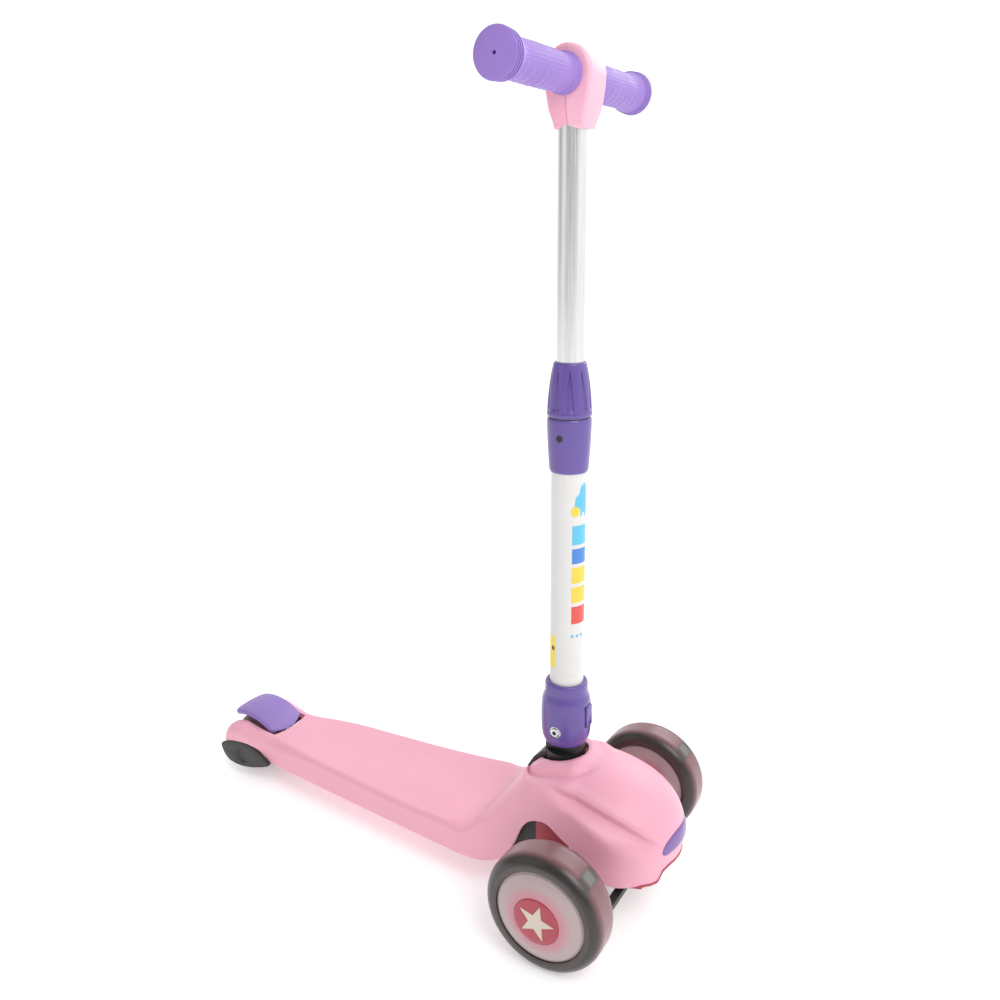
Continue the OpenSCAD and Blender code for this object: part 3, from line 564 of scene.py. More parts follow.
def section(x, count):
    """Right half of the moulding's section at x, from the top's middle down to the lower edge, as [y, z]."""
    w, top, edge = half_width(x), top_height(x), low_edge(x)
    hood = between(x, -108, -60)
    plain = DECK_ROUND + (FORK_ROUND - DECK_ROUND) * (1 - between(x, -385, -300))
    reach_y = min(plain + (w - plain) * hood, w)
    reach_z = plain + (max(top - CROWN_Z, 8) - plain) * hood
    if x < -300:
        reach_z = min(reach_z, max(top - edge, 1))
    flat = w - reach_y
    n = 2 + (CROWN_POWER - 2) * hood
    angles = quarter(60)
    corner_y = flat + reach_y * np.sin(angles) ** (2 / n)
    corner_z = top - reach_z + reach_z * np.cos(angles) ** (2 / n)
    wall_z = np.linspace(top - reach_z, 0, 60)[1:]
    tuck = 1.5 * (1 - hood) + 4.0 * between(x, 60, 95)
    wall_y = w - tuck * smooth((top - reach_z - wall_z) / 45)
    y = np.concatenate([[0], corner_y, wall_y])
    z = np.concatenate([[top], corner_z, wall_z])
    keep = z > edge + 0.05
    last = int(np.argmin(keep)) if not keep.all() else len(z) - 1
    t = (z[last - 1] - edge) / max(z[last - 1] - z[last], 1e-9)
    y = np.append(y[:last], y[last - 1] + t * (y[last] - y[last - 1]))
    z = np.append(z[:last], edge)
    along = np.concatenate([[0], np.cumsum(np.hypot(np.diff(y), np.diff(z)))])
    even = np.linspace(0, along[-1], count)
    return np.column_stack([np.interp(even, along, y), np.interp(even, along, z)]), even


# Lines that shape the hood's flanks, as heights [x, z] on its skin
CREASE = [(0, 134), (18, 131), (43, 126.5), (68, 120), (91, 111), (104, 103.5), (115, 96.5), (120, 92)]
SHOULDER = [(-60, 108), (-38, 121), (-10, 127), (10, 125), (34, 117), (50, 110), (66, 102), (80, 95),
            (93, 90), (110, 86), (120, 83)]
SCOOP = [(-60, 100), (-38, 121), (-17, 132), (0, 137.5), (21, 140.5), (37, 142), (48, 144), (60, 146)]


def section_offset(x, line, along):
    """How far to push each point of a section outwards, to carve the scoop, the crease and the shoulder."""
    z = line[:, 1]

    def spot(guide):
        return float(np.interp(-follow(x, guide), -z, along))

    push = np.zeros(len(z))
    if -70 < x < 125:
        shoulder = spot(SHOULDER)
        ridge = 2.2 * between(x, -70, -20) * (1 - between(x, 60, 118))
        push += ridge * np.exp(-((along - shoulder) / 9) ** 2)
        hollow = 1.6 * between(x, -70, -20) * (1 - between(x, 60, 118))
        push -= hollow * np.exp(-((along - shoulder - 26) / 16) ** 2)
    if 2 < x < 125:
        crease, shoulder = spot(CREASE), spot(SHOULDER)
        depth = 5.2 * between(x, -4, 30) * (1 - between(x, 100, 123))
        width = max(shoulder - crease, 20)
        floor = crease + 4
        push -= depth * between(along, crease - 1, floor) * (1 - between(along, floor, crease + width))
        push += 0.25 * depth * np.exp(-((along - crease + 5) / 5) ** 2)
    if -60 < x < 58:
        line_at = spot(SCOOP)
        start = line_at - 4 - (line_at - 29) * (1 - between(x, 0, 46))
        depth = 7.5 * between(x, -62, -34) * (1 - between(x, 6, 48))
        fall = np.clip((along - start) / (line_at - start), 0, 1) ** 1.5
        rise = np.clip(1 - (along - line_at) / 13, 0, 1) ** 1.4
        push -= depth * np.where(along < line_at, fall, rise)
    return push


def stations():
    """Places along the moulding, close together where it bends."""
    fork = FORK_ROUND_X - (FORK_END + FORK_ROUND_X) * np.sin(np.radians(np.linspace(89.9, 0, 26))) ** 0.5
    nose = NOSE_X * np.sin(np.radians(np.linspace(0, 89.98, 120))) ** (2 / NOSE_POWER)
    steps = [np.arange(start, end, step) for start, end, step in (
        (-430, -376, 2.5), (-376, -112, 6), (-112, -34, 2), (-34, 0, 1))]
    return np.unique(np.concatenate([fork, *steps, nose]).round(3))


def shell_surface(count=84):
    """The moulding's outer skin as rows of points, each across one station from right to left."""
    xs = stations()
    rows = []
    for x in xs:
        half, along = section(x, count)
        slope_y, slope_z = np.gradient(half[:, 0]), np.gradient(half[:, 1])
        length = np.maximum(np.hypot(slope_y, slope_z), 1e-6)
        push = section_offset(x, half, along)
        half = half + np.column_stack([-slope_z / length * push, slope_y / length * push])
        half[:, 0] = np.maximum(half[:, 0], 0)
        half[0, 0] = 0
        ahead = lean_back(x, half[:, 1])
        row = [(a, -y, z) for a, (y, z) in zip(ahead[::-1], half[::-1])]
        row += [(a, y, z) for a, (y, z) in zip(ahead[1:], half[1:])]
        rows.append(row)
    points = np.array(rows).reshape(-1, 3)
    return points, len(xs), 2 * count - 1


def opening_outline():
    """The stem's opening: round, with a slot to the rear for the socket's fin."""
    corner = 6
    turn = math.degrees(math.asin(SLOT_HALF / OPENING_R))
    x, y = SLOT_END + corner, SLOT_HALF - corner
    return (arc(0, 0, OPENING_R, -180 + turn, 180 - turn, 40) + arc(x, y, corner, 90, 180, 5)
            + arc(x, -y, corner, 180, 270, 5))


def opening_distance(x, y):
    """Distance of a point of the hood from the stem's opening."""
    round_part = np.hypot(x, y) - OPENING_R
    slot_x, slot_y = np.maximum(SLOT_END - x, x), np.abs(y) - SLOT_HALF
    slot = np.where((slot_x < 0) | (slot_y < 0), np.maximum(slot_x, slot_y), np.hypot(slot_x, slot_y))
    return np.minimum(round_part, slot)


def fork_outline():
    """The gap between the fork arms, with a front edge that bows forward like the fender's."""
    half, corner_x, bow, behind = 28, -387, 5, -490
    front = [(corner_x + bow * (1 - (y / half) ** 2), y) for y in np.linspace(-half, half, 13)]
    return [(behind, -half)] + front + [(behind, half)]


def deck_and_hood():
    """The one-piece pink moulding, a thin wall with its openings cut."""
    points, rows, cols = shell_surface()
    gap = opening_distance(points[:, 0], points[:, 1])
    rim_width, rim_dip, hood_above = 5.3, 2, 95
    near = np.clip(1 - np.maximum(gap, 0) / rim_width, 0, 1) * (points[:, 2] > hood_above)
    points[:, 2] -= rim_dip * near ** 2
    piece = build("deck_and_hood", points, grid_faces(rows, cols))
    bm = bmesh.new()
    bm.from_mesh(piece.data)
    if sum(f.normal.z * f.calc_area() for f in bm.faces) < 0:
        bmesh.ops.reverse_faces(bm, faces=bm.faces)
    bm.to_mesh(piece.data)
    bm.free()
    thick = piece.modifiers.new("wall", "SOLIDIFY")
    thick.thickness = WALL * MM
    thick.offset = -1
    thick.use_even_offset = False
    bake_modifiers(piece)
    cut(piece, prism("stem_cut", opening_outline(), 95, 175), prism("fork_cut", fork_outline(), -10, 100),
        solver="MANIFOLD")
    return finish_piece(piece, pink_plastic, "chassis", ["deck_shell"], 32)


deck_and_hood()


# ------------------------------------------- under cover, badge, arches, covers

def rim_path():
    """The moulding's lower edge round the nose, from the right arch to the left one."""
    xs = NOSE_X * np.sin(np.radians(np.linspace(46, 89.97, 90))) ** (2 / NOSE_POWER)
    right = []
    for x in xs:
        y, z = section(x, 30)[0][-1]
        right.append((lean_back(x, z), -y, z))
    return right + [(x, -y, z) for x, y, z in right[::-1]]


def under_cover():
    """Thin red lip that shows under the rim, and the floor behind it."""
    path = np.array(rim_path())
    outward = np.column_stack([NOSE_POWER * (path[:, 0] / NOSE_X) ** 2 / NOSE_X, 2 * path[:, 1] / HALF ** 2])
    outward /= np.hypot(*outward.T)[:, None]
    lip = [(-2.6, 0.1), (0.3, 0.1), (0.7, 0.6), (0.6, 2.2), (0.0, 2.9), (-2.6, 2.9)]  # [out, down]
    rings = [(x + nx * out, y + ny * out, z - down)
             for (x, y, z), (nx, ny) in zip(path, outward) for out, down in lip]
    piece = build("cover_lip", rings, tube_faces(len(path), len(lip)))
    finish_piece(piece, red_plastic, "chassis", ["under_cover"])
    floor = prism("cover_floor", [(89.5, -50), (105, -44), (105, 44), (89.5, 50)], 46.6, 49.6)
    finish_piece(floor, red_plastic, "chassis", ["under_cover"])


SIDES = ((-1, "_right"), (1, "_left"))


def arch_panel(name, x0, x1, low, depth, material, node):
    """A panel inside a wheel arch that closes it off above the axle, on both sides."""
    thick, overlap, top = 2.5, 3, 100
    edge = [(x, min(low_edge(x) + overlap, top)) for x in np.linspace(x1, x0, 14)]
    for side, ending in SIDES:
        y0, y1 = sorted((side * (HALF - depth), side * (HALF - depth - thick)))
        piece = prism_y(name + ending, [(x0, low), (x1, low)] + edge, y0, y1)
        finish_piece(piece, material, "chassis", [node])


def arch_rail():
    """A red rail that follows each wheel arch just inside the moulding."""
    path = [(0, 99), (12, 100), (28, 93), (50, 80), (66, 66), (75, 57)]
    depth, thick, low, high = 6.5, 3, -6, 3
    for side, ending in SIDES:
        rings = []
        for x, z in path:
            outer = side * (half_width(x) - depth)
            inner = outer - side * thick
            rings += [(x, outer, z + low), (x, inner, z + low), (x, inner, z + high), (x, outer, z + high)]
        piece = build("arch_rail" + ending, rings, tube_faces(len(path), 4))
        finish_piece(piece, red_plastic, "chassis", ["under_cover"])


def nose_badge():
    """Purple badge with rounded ends, left blank."""
    rows, cols = 15, 61
    points = []
    for back in (False, True):
        for i in range(rows):
            v = -math.cos(math.pi * i / (rows - 1))
            for j in range(cols):
                u = -math.cos(math.pi * j / (cols - 1))
                y = 29.5 * u
                end = power_round(max(0.0, (abs(y) - 22.5) / 7), 2, 2)
                low, high = 77.0 + 3.5 * (1 - u * u), 89 + 10 * (1 - abs(u) ** 2.2)
                z = (low + high) / 2 + v * end * (high - low) / 2
                out = -1.0 if back else 0.2 + 1.0 * (1 - u ** 10) * (1 - v ** 10)
                points.append(nose_point(y, z, out))
    faces = grid_faces(rows, cols)
    faces += [tuple(k + rows * cols for k in f[::-1]) for f in grid_faces(rows, cols)]
    border = [*range(cols)] + [i * cols + cols - 1 for i in range(1, rows)]
    border += [(rows - 1) * cols + j for j in range(cols - 2, -1, -1)]
    border += [i * cols for i in range(rows - 2, 0, -1)]
    n = rows * cols
    faces += [(a, b, b + n, a + n) for a, b in zip(border, border[1:] + border[:1])]
    piece = build("nose_badge_piece", points, faces)
    finish_piece(piece, badge_plastic, "chassis", ["nose_badge"], 50)


def half_at(x, z):
    """Half width of the hood at a place along it and a height."""
    top, w = top_height(x), half_width(x)
    base = top - max(top - CROWN_Z, 8)
    if z > base:
        return w * power_round((z - base) / (top - base), CROWN_POWER, CROWN_POWER) if z < top else -1.0
    return w - 4.0 * between(x, 60, 95) * smooth((base - z) / 45)


def nose_x(y, z):
    """How far forward the hood's skin lies at a place across it and a height."""
    near, far = 60.0, NOSE_X
    for _ in range(26):
        x = (near + far) / 2
        near, far = (x, far) if half_at(x, z) > abs(y) else (near, x)
    return lean_back(near, z)


def nose_point(y, z, out):
    """A point on the nose's skin, moved outwards by out."""
    x = nose_x(y, z)
    normal = np.array([1.0, x - nose_x(y + 1, z), x - nose_x(y, z + 1)])
    return np.array([x, y, z]) + normal / np.linalg.norm(normal) * out


def rear_cover(side):
    """Dark cover on a fork arm with a round recess at the axle."""
    outline = [(-463, 38), (-447, 45), (-430, 48), (-412, 46.5), (-398, 41), (-382, 28.5), (-395, 23),
               (-412, 17.6), (-428, 14.6), (-440, 14.4), (-453, 17), (-460, 24.5), (-464, 34)]
    corners = [(*p, 5) for p in outline]
    line = rounded([*corners[-1:], *corners, corners[0]])[1:-1]
    y0, y1 = sorted((side * 41.2, side * 45.3))
    piece = prism_y("rear_cover_piece_" + ("left" if side > 0 else "right"), line, y0, y1)
    y0, y1 = sorted((side * 44.2, side * 50))
    cut(piece, bar_y("recess", -427, 29.5, 9, y0, y1))
    node = "rear_cover_left" if side > 0 else "rear_cover_right"
    return finish_piece(round_edges(piece, 0.7), dark_plastic, "chassis", [node], 50)


def round_edges(piece, width, segments=2, angle=35):
    """Small bevels on the sharp edges."""
    edge = piece.modifiers.new("edge", "BEVEL")
    edge.width = width * MM
    edge.segments = segments
    edge.limit_method = "ANGLE"
    edge.angle_limit = math.radians(angle)
    bake_modifiers(piece)
    return piece


# ----------------------------------------------------------------------- brake

def fender_section(half):
    """The fender across its width as [y, drop], with turned-down edges and points along its wide faces."""
    wall, edge_drop, under = 1.4, -5.2, -2.9
    inner = half - wall
    corners = [(-half, edge_drop), (-half, 0, 2.6), (half, 0, 2.6), (half, edge_drop), (inner, edge_drop),
               (inner, under, 1.6), (-inner, under, 1.6), (-inner, edge_drop)]
    line = rounded(corners)
    filled = []
    for a, b in zip(line, line[1:]):
        filled += list(np.linspace(a, b, max(2, int(abs(b[0] - a[0]) / 3)))[:-1])
    return filled + [np.array([-inner, edge_drop])]


def fender():
    """Foot brake over the rear wheel, with rounded corners and a turned-down lip."""
    centre_x, centre_z, radius, half = REAR_AXLE - 4.4, REAR_R - 20.1, 65.8, 25.7
    front, rear, steps, round_share = 43.5, 109.5, 36, 0.09
    line = fender_section(half)
    rings = []
    for k in range(steps):
        t = k / (steps - 1)
        from_end = min(t, 1 - t)
        corner = 5.0 * (power_round(1 - from_end / round_share, 2, 2) - 1) if from_end < round_share else 0.0
        for y, drop in line:
            bow = 4.2 * (y / half) ** 2 * max(0, 1 - 2 * t)
            angle = math.radians(front + bow + (rear - front - bow) * t)
            r = radius + drop - 1.2 * (y / half) ** 2
            across = y * (half + corner) / half
            rings.append((centre_x + r * math.cos(angle), across, centre_z + r * math.sin(angle)))
    piece = build("fender_piece", rings, tube_faces(steps, len(line)))
    finish_piece(piece, fender_plastic, "brake", ["brake_fender"], 60)


# ------------------------------------------------------------------------ stem

FOLD_Z = 175           # height of the folding bolt
SLEEVE_LOW, SLEEVE_TOP = 157.5, 223.5


def hinge_sleeve():
    """Purple folding sleeve, open below for the socket's tongue, with a pocket for the button."""
    outer = rounded([(17, SLEEVE_LOW), (21.2, SLEEVE_LOW, 0.8), (23.9, 163, 3), (25, 170, 4),
                     (25.3, 178, 6), (25.3, 196, 6), (24.2, 205, 5), (21.7, 211.5, 2.5), (21.5, 221.6, 0.8),
                     (20.4, SLEEVE_TOP, 0.8), (17.6, SLEEVE_TOP, 0.4), (17.1, 221.5)])
    piece = lathe("sleeve_piece", outer, "z", (0, 0, 0), 128)
    slot = prism("slot", [(-30, -12), (12, -12), (12, 12), (-30, 12)], SLEEVE_LOW - 2, 192)
    pocket = prism("pocket", rounded_box(27.5, 0, 5, 6.3, 1.5), 177.7, 200.3)
    cut(piece, slot, pocket, bar_y("head_hole", 0, FOLD_Z, 6.4, -40, -22),
        bar_y("nut_hole", 0, FOLD_Z, 6.9, 22, 40))
    finish_piece(round_edges(piece, 0.3), purple_plastic, "stem", ["hinge_sleeve"], 42)


def rounded_box(x, y, half_x, half_y, r):
    """Outline of a rectangle with round corners."""
    corners = []
    for sx, sy, a in ((1, 1, 0), (-1, 1, 90), (-1, -1, 180), (1, -1, 270)):
        corners += arc(x + sx * (half_x - r), y + sy * (half_y - r), r, a, a + 90, 5)
    return corners


def release_button():
    """Button on the folding sleeve's front."""
    piece = prism_y("button_piece", [(24.2, 178), (26.4, 178), (26.4, 200), (24.2, 200)], -6, 6)
    round_edges(piece, 0.7)
    finish_piece(piece, purple_plastic, "release_button", ["release_button"], 45)


def fold_bolt():
    """Silver bolt head over a toothed washer, with a hexagon socket."""
    def teeth(radius, height, angle):
        return radius + (0.45 * math.copysign(1, math.sin(12 * angle)) if radius > 5.9 else 0)

    def turned(name, profile, steps, shape=None):
        return lathe(name, profile, "y", (0, 0, FOLD_Z), steps, shape, closed=False)

    washer = turned("bolt_washer", [(0, -23), (6.2, -23), (6.2, -24.1), (5.2, -24.4), (0, -24.4)], 96, teeth)
    crown = rounded([(0, -24), (5.0, -24), (5.0, -25.6, 0.8), (3.6, -26.3, 0.8), (0, -26.3)])
    head = turned("bolt_head", crown, 48)
    cut(head, turned("socket", [(0, -24.6), (2.5, -24.6), (2.5, -28), (0, -28)], 6))
    floor = bar_y("bolt_socket_floor", 0, FOLD_Z, 2.2, -24.9, -24.5, 6)
    shank = bar_y("bolt_shank", 0, FOLD_Z, 3.95, -23.5, 26)
    for piece, look in ((washer, zinc), (head, zinc), (floor, dark_steel), (shank, zinc)):
        finish_piece(piece, look, "stem", ["hinge_bolt"], 30)


def tube(name, r, bore, z0, z1, material, body, node):
    """A plain tube with small chamfers at its ends."""
    inside, outside = 0.3, 0.4
    profile = [(bore, z0 + inside), (bore + inside, z0), (r - outside, z0), (r, z0 + outside),
               (r, z1 - outside), (r - outside, z1), (bore + inside, z1), (bore, z1 - inside)]
    piece = lathe(name, profile, "z", (0, 0, 0), 96)
    finish_piece(piece, material, body, [node], 30)


def fluted(radius, height, angle):
    """Nine long flutes, pointed at the top and wide at the bottom."""
    if radius < 14.6 or not 5.5 < height < 47:
        return radius
    pitch = math.radians(40)
    off = abs((angle - math.radians(-63.5) + pitch / 2) % pitch - pitch / 2)
    half = math.radians(13.5) * power_round(max(0.0, (height - 6) / 39), 1.3, 1.3)
    depth = 1.9 * smooth((half - off) / math.radians(4)) * smooth((height - 5.5) / 2)
    return radius - depth


def twist_collar():
    """Fluted collar that narrows towards its top."""
    taper = [(4, 20.9), (12, 20.4), (21, 19.6), (35, 17.9), (46.5, 15.8), (50, 14.9)]
    rim = [(17.5, 0), (20.6, 0), (21.2, 0.7), (21.3, 3.4), (20.9, 4.6)]
    side = [(follow(h, taper), h) for h in np.linspace(5.5, 46.5, 42)]
    mouth = [(15.6, 48), (15.2, 49.3), (14.5, TWIST_LEN), (13.4, TWIST_LEN), (13.2, 49.6)]
    inside = [(13.2, 43), (14.4, 41.5), (16.6, 12.5), (17.5, 11)]
    piece = lathe("twist_collar_piece", rim + side + mouth + inside, "z", (0, 0, COLLAR_Z), 360, fluted)
    finish_piece(piece, purple_plastic, "twist_collar", ["twist_collar"], 45)


def lower_collar():
    """Fixed collar with the hole of its screw."""
    low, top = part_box("lower_collar")[0].z / MM, COLLAR_Z - 1.6
    profile = rounded([(17, low), (18.0, low, 0.5), (18.9, low + 3, 1.5), (20.3, COLLAR_Z - 28, 5),
                       (21, COLLAR_Z - 10, 4), (21, top - 1.6, 0.5), (20.0, top, 0.4), (17, top)])
    piece = lathe("lower_collar_piece", profile, "z", (0, 0, 0), 128)
    cut(piece, bar_y("screw_hole", 0, COLLAR_Z - 19, 3.4, -30, -19.2))
    finish_piece(round_edges(piece, 0.25), purple_plastic, "stem", ["lower_collar"], 42)


# ------------------------------------------------------------- tube's graphics

def patch(name, outline, material, r=17.12):
    """A thin printed shape wrapped round the lower tube; its outline is in [angle in degrees, height]."""
    angles, heights = np.array(outline, float).T
    centre = (angles.mean(), heights.mean())
    rings = []
    for share in np.linspace(0, 1, 7):
        for a, h in zip(angles, heights):
            a, h = centre[0] + (a - centre[0]) * share, centre[1] + (h - centre[1]) * share
            rings.append((r * math.cos(math.radians(a)), r * math.sin(math.radians(a)), h))
    n = len(outline)
    piece = build(name, rings, grid_faces(7, n, wrap_cols=True))
    thick = piece.modifiers.new("ink", "SOLIDIFY")
    thick.thickness = 0.08 * MM
    thick.offset = 1
    bake_modifiers(piece)
    finish_piece(piece, material, "stem")


def disc_outline(a, z, half_a, half_z):
    turn = np.radians(np.linspace(0, 360, 28, False))
    return [(a + half_a * math.cos(t), z + half_z * math.sin(t)) for t in turn]


def bar_outline(a0, a1, z0, z1, steps=10):
    return [(a, z0) for a in np.linspace(a0, a1, steps)] + [(a, z1) for a in np.linspace(a1, a0, steps)]


INKS = {"sky": (0.10, 0.50, 0.72), "blue": (0.05, 0.22, 0.62), "sun": (0.85, 0.60, 0.05),
        "red": (0.72, 0.07, 0.06), "label": (0.86, 0.72, 0.12), "dark": (0.04, 0.04, 0.05)}
LEAF = [(-48, 401), (-40, 417), (-18, 429), (0, 431), (12, 425), (14, 408), (6, 397), (-20, 399)]
BLOCKS = ((371, 390, "sky"), (352, 367, "blue"), (332, 348, "sun"), (312, 328, "sun"), (290, 308, "red"))


def tube_graphics():
    """Plain coloured shapes down the tube's front, and a small yellow label near its foot."""
    ink = {name: plastic("ink_" + name, colour, 0.35, 0.2, coat=0.2, uneven=0.03)
           for name, colour in INKS.items()}
    on_top = 17.22
    patch("mark_leaf", LEAF, ink["sky"])
    patch("mark_ball", disc_outline(-40, 404, 15, 5), ink["sun"], on_top)
    for k, (low, high, colour) in enumerate(BLOCKS):
        patch("mark_block_%d" % k, bar_outline(-50, 8, low, high), ink[colour])
    for k in range(3):
        patch("mark_dot_%d" % k, disc_outline(-46 + 18 * k, 277, 5, 1.6), ink["sky"])
    patch("tube_label", bar_outline(-141, -104, 241, 275), ink["label"])
    patch("label_dot", disc_outline(-116, 262, 7, 2.4), ink["dark"], on_top)


# ------------------------------------------------------------------- handlebar

def head_outline(steps=24):
    """Side view of the handlebar's head as [x, z], from the foot's rear corner round the top."""
    behind, round_r = 20.5, 24.5
    top = [(-behind * math.cos(a), BAR_Z + round_r * math.sin(a)) for a in quarter(steps)]
    over = np.radians(np.linspace(4, 96, steps))
    top += [(round_r * math.sin(a), BAR_Z + round_r * math.cos(a)) for a in over]
    rear = [(-14.5, 745), (-15.2, 750), (-16.6, 760), (-18.6, 772), (-20.1, 780)]
    front = [(23.6, 776), (22.3, 768), (20.6, 758), (19, 750), (18, 745)]
    return np.array(rear + top + front)


def head_block():
    """The whole head with rounded edges, narrower at its foot."""
    line = head_outline()
    centre = np.array([2.0, 776.0])
    edge = np.roll(line, -1, 0) - np.roll(line, 1, 0)
    normal = np.column_stack([-edge[:, 1], edge[:, 0]])
    normal /= np.linalg.norm(normal, axis=1)[:, None]
    normal *= np.sign(((line - centre) * normal).sum(1))[:, None]
    half, r = 17.0, 4.0
    places = np.concatenate([half - r + r * np.sin(quarter(8)[::-1]), [0]])
    places = np.concatenate([-places, places[::-1][1:]])
    rings = []
    for y in places:
        shrink = r - math.sqrt(max(0, r * r - max(0, abs(y) - half + r) ** 2))
        for (x, z), (nx, nz) in zip(line, normal):
            foot = 1 - between(z, 745, 763)
            px, pz = x - nx * shrink, z - nz * shrink
            rings.append((px - np.sign(px) * foot * 3.0 * (abs(y) / half) ** 2, y * (1 - 0.24 * foot), pz))
    n, m = len(line), len(places)
    faces = grid_faces(m, n, wrap_cols=True)
    for first in (0, n * (m - 1)):
        faces += [(first + k, first + k + 1, first + n - 2 - k, first + n - 1 - k) for k in range(n // 2 - 1)]
    return build("head_block", rings, faces)


def handlebar_head():
    """Two halves that meet in a fine seam, clamped round the bar."""
    seam, gap, far = 1.6, 0.15, 60
    below, above = 700, 850
    bar_r, tube_r = 11.15, 12.75
    for name, x0, x1, look, node, slot in (
        ("head_front", -far, seam + gap, head_light, "head_front_cover", "head_pink"),
        ("head_rear", seam - gap, far, pink_plastic, "head_rear_cover", "shell_pink"),
    ):
        piece = head_block()
        piece.name = name
        away = prism("away", [(x0, -40), (x1, -40), (x1, 40), (x0, 40)], below, above)
        bore = [(0, below), (tube_r, below), (tube_r, BAR_Z), (0, BAR_Z)]
        cut(piece, away, bar_y("bar_hole", 0, BAR_Z, bar_r, -40, 40),
            lathe("tube_hole", bore, "z", (0, 0, 0), 64, closed=False))
        finish_piece(piece, look, "handlebar", [node], 42)


GRIP_START, GRIP_END = 17.3, 130.5


def grip_profile():
    """Inner ring, hand's part, three flange rings and the domed end cap with its small hole."""
    end, start = GRIP_END, GRIP_START
    ring = rounded([(11.1, start), (17.3, start, 0.6), (17.3, start + 3, 0.8), (15.2, start + 4.2, 0.8),
                    (14.6, 26)])
    hand = [(25, 14.7), (40, 15.2), (70, 15.5), (95, 15.3), (106, 15.2), (111, 15.8), (115, 17.0)]
    body = [(follow(y, hand), y) for y in np.linspace(26, 115, 90)]
    flange = [(17.6, end - 14.5), (18.3, end - 13)]
    for k in range(3):
        y = end - 12.4 + 3.4 * k
        r = 19.0 + 0.2 * k
        flange += [(r - 2.6, y), (r, y + 0.5), (r, y + 1.6), (r - 2.6, y + 2.0)]
    cap = [(19.0, -2.2), (19.6, -1.9), (19.3, -1.3), (18, -0.9), (14, -0.2), (8, 0.2), (1.6, 0.3),
           (1.5, -3), (11.1, -5)]
    return ring + body + flange + [(r, end + ahead) for r, ahead in cap]


def grip_shape(radius, height, angle):
    """Small ribs all round, and four finger bumps along the underside."""
    first, last, pitch, finger = 27, 112, 2.9, 21
    if radius < 13 or not first < height < last:
        return radius
    fade = smooth((height - first) / 4) * smooth((last - height) / 4)
    rib = 0.55 * max(0.0, math.sin(30 * angle)) * max(0.0, math.sin(2 * math.pi * height / pitch))
    under = max(0.0, -math.sin(angle)) ** 1.5
    bump = 1.1 * under * math.sin(2 * math.pi * (height - first) / finger) ** 2
    return radius + (rib + bump) * fade


def grips():
    """Both grips, ribbed round their hand's part."""
    profile = [(p[0], p[1]) for p in grip_profile()]
    left = lathe("grip_piece_left", profile, "y", (0, 0, BAR_Z), 240, grip_shape)
    right = mirrored(left, "grip_piece_right")
    finish_piece(left, grip_rubber, "handlebar", ["grip_left"], 50)
    finish_piece(right, grip_rubber, "handlebar", ["grip_right"], 50)


# ---------------------------------------------------------------------- wheels

FACE_R = 45.0
DISC_R = 22.6
TYRE_HALF = 19.5
TYRE_ROUND = 12.0
SEAT = 15.6            # the tyre, the hub and the face plate meet this far from the wheel's middle


def face_height(r):
    """Distance of the domed wheel face from the wheel's middle."""
    return 18 + 8 * (1 - (r / FACE_R) ** 3)


def face_points(*radii, down=0.0):
    return [(r, face_height(r) - down) for r in radii]


def both_sides(piece, name, material, node, sharp=40):
    """Finishes a left-hand wheel piece and its mirrored twin."""
    twin = mirrored(piece, name + "_right")
    finish_piece(piece, material, "wheel_left", [node + "_left"], sharp)
    finish_piece(twin, material, "wheel_right", [node + "_right"], sharp)


def wheel_lathe(name, profile, steps=128, closed=True):
    return lathe(name + "_left", profile, "y", (FRONT_AXLE, WHEEL_Y, FRONT_R), steps, closed=closed)


def tyre_shoulder(radius, half, corner, steps):
    """The rounded corner between a tyre's tread and its outer side."""
    return arc(radius - corner, half - corner, corner, 0, 90, steps - 1)


def front_tyres():
    """Round-shouldered tyres of the front wheels."""
    shoulder = tyre_shoulder(FRONT_R, TYRE_HALF, TYRE_ROUND, 13)
    lip = [(45.9, TYRE_HALF), (45.3, 19.2), (45.3, 15.8), (43, SEAT)]
    half = [(FRONT_R, 5)] + shoulder + lip
    line = [(r, -y) for r, y in half[::-1]] + [(FRONT_R, 0)] + half
    both_sides(wheel_lathe("tyre_piece", line), "tyre_piece", smoky_tyre, "tyre")


def face_plates():
    """Domed plate with a fine groove near its rim and a seat for the star disc."""
    rim = [(41, SEAT), (FACE_R, SEAT)] + face_points(FACE_R, down=0.6) + face_points(FACE_R - 0.4, 43.9)
    groove = face_points(43.6, 43.0, down=0.7) + face_points(42.7)
    dome = face_points(*np.arange(41.5, 24, -1.5), DISC_R + 0.5)
    recess_r = DISC_R + 0.2
    seat = [(recess_r, face_height(DISC_R) - 0.4), (recess_r, 23.4), (0.5, 23.4), (0.5, 22.4), (30, 20)]
    both_sides(wheel_lathe("face_piece", rim + groove + dome + seat), "face_piece", wheel_face, "face_plate")


def star_discs():
    """Red disc with a raised cream star."""
    disc = [(0.0, 23.5), (DISC_R, 23.5), (DISC_R, face_height(DISC_R) - 0.3)]
    disc += [(DISC_R - 0.4, face_height(DISC_R) + 0.1)] + face_points(20, 15, 10, 5, 0.0, down=-0.1)
    flat = wheel_lathe("disc_piece", disc, 96, closed=False)
    both_sides(flat, "disc_piece", star_red, "star_disc")
    tip, valley = 18.3, 7.4
    star = []
    for k in range(10):
        turn, r = math.radians(4 + 36 * k), valley if k % 2 else tip
        star.append((FRONT_AXLE + r * math.cos(turn), FRONT_R + r * math.sin(turn)))
    raised = prism_y("star_piece_left", star, WHEEL_Y + 25, WHEEL_Y + 26.5)
    both_sides(raised, "star_piece", star_cream, "star_disc", 30)


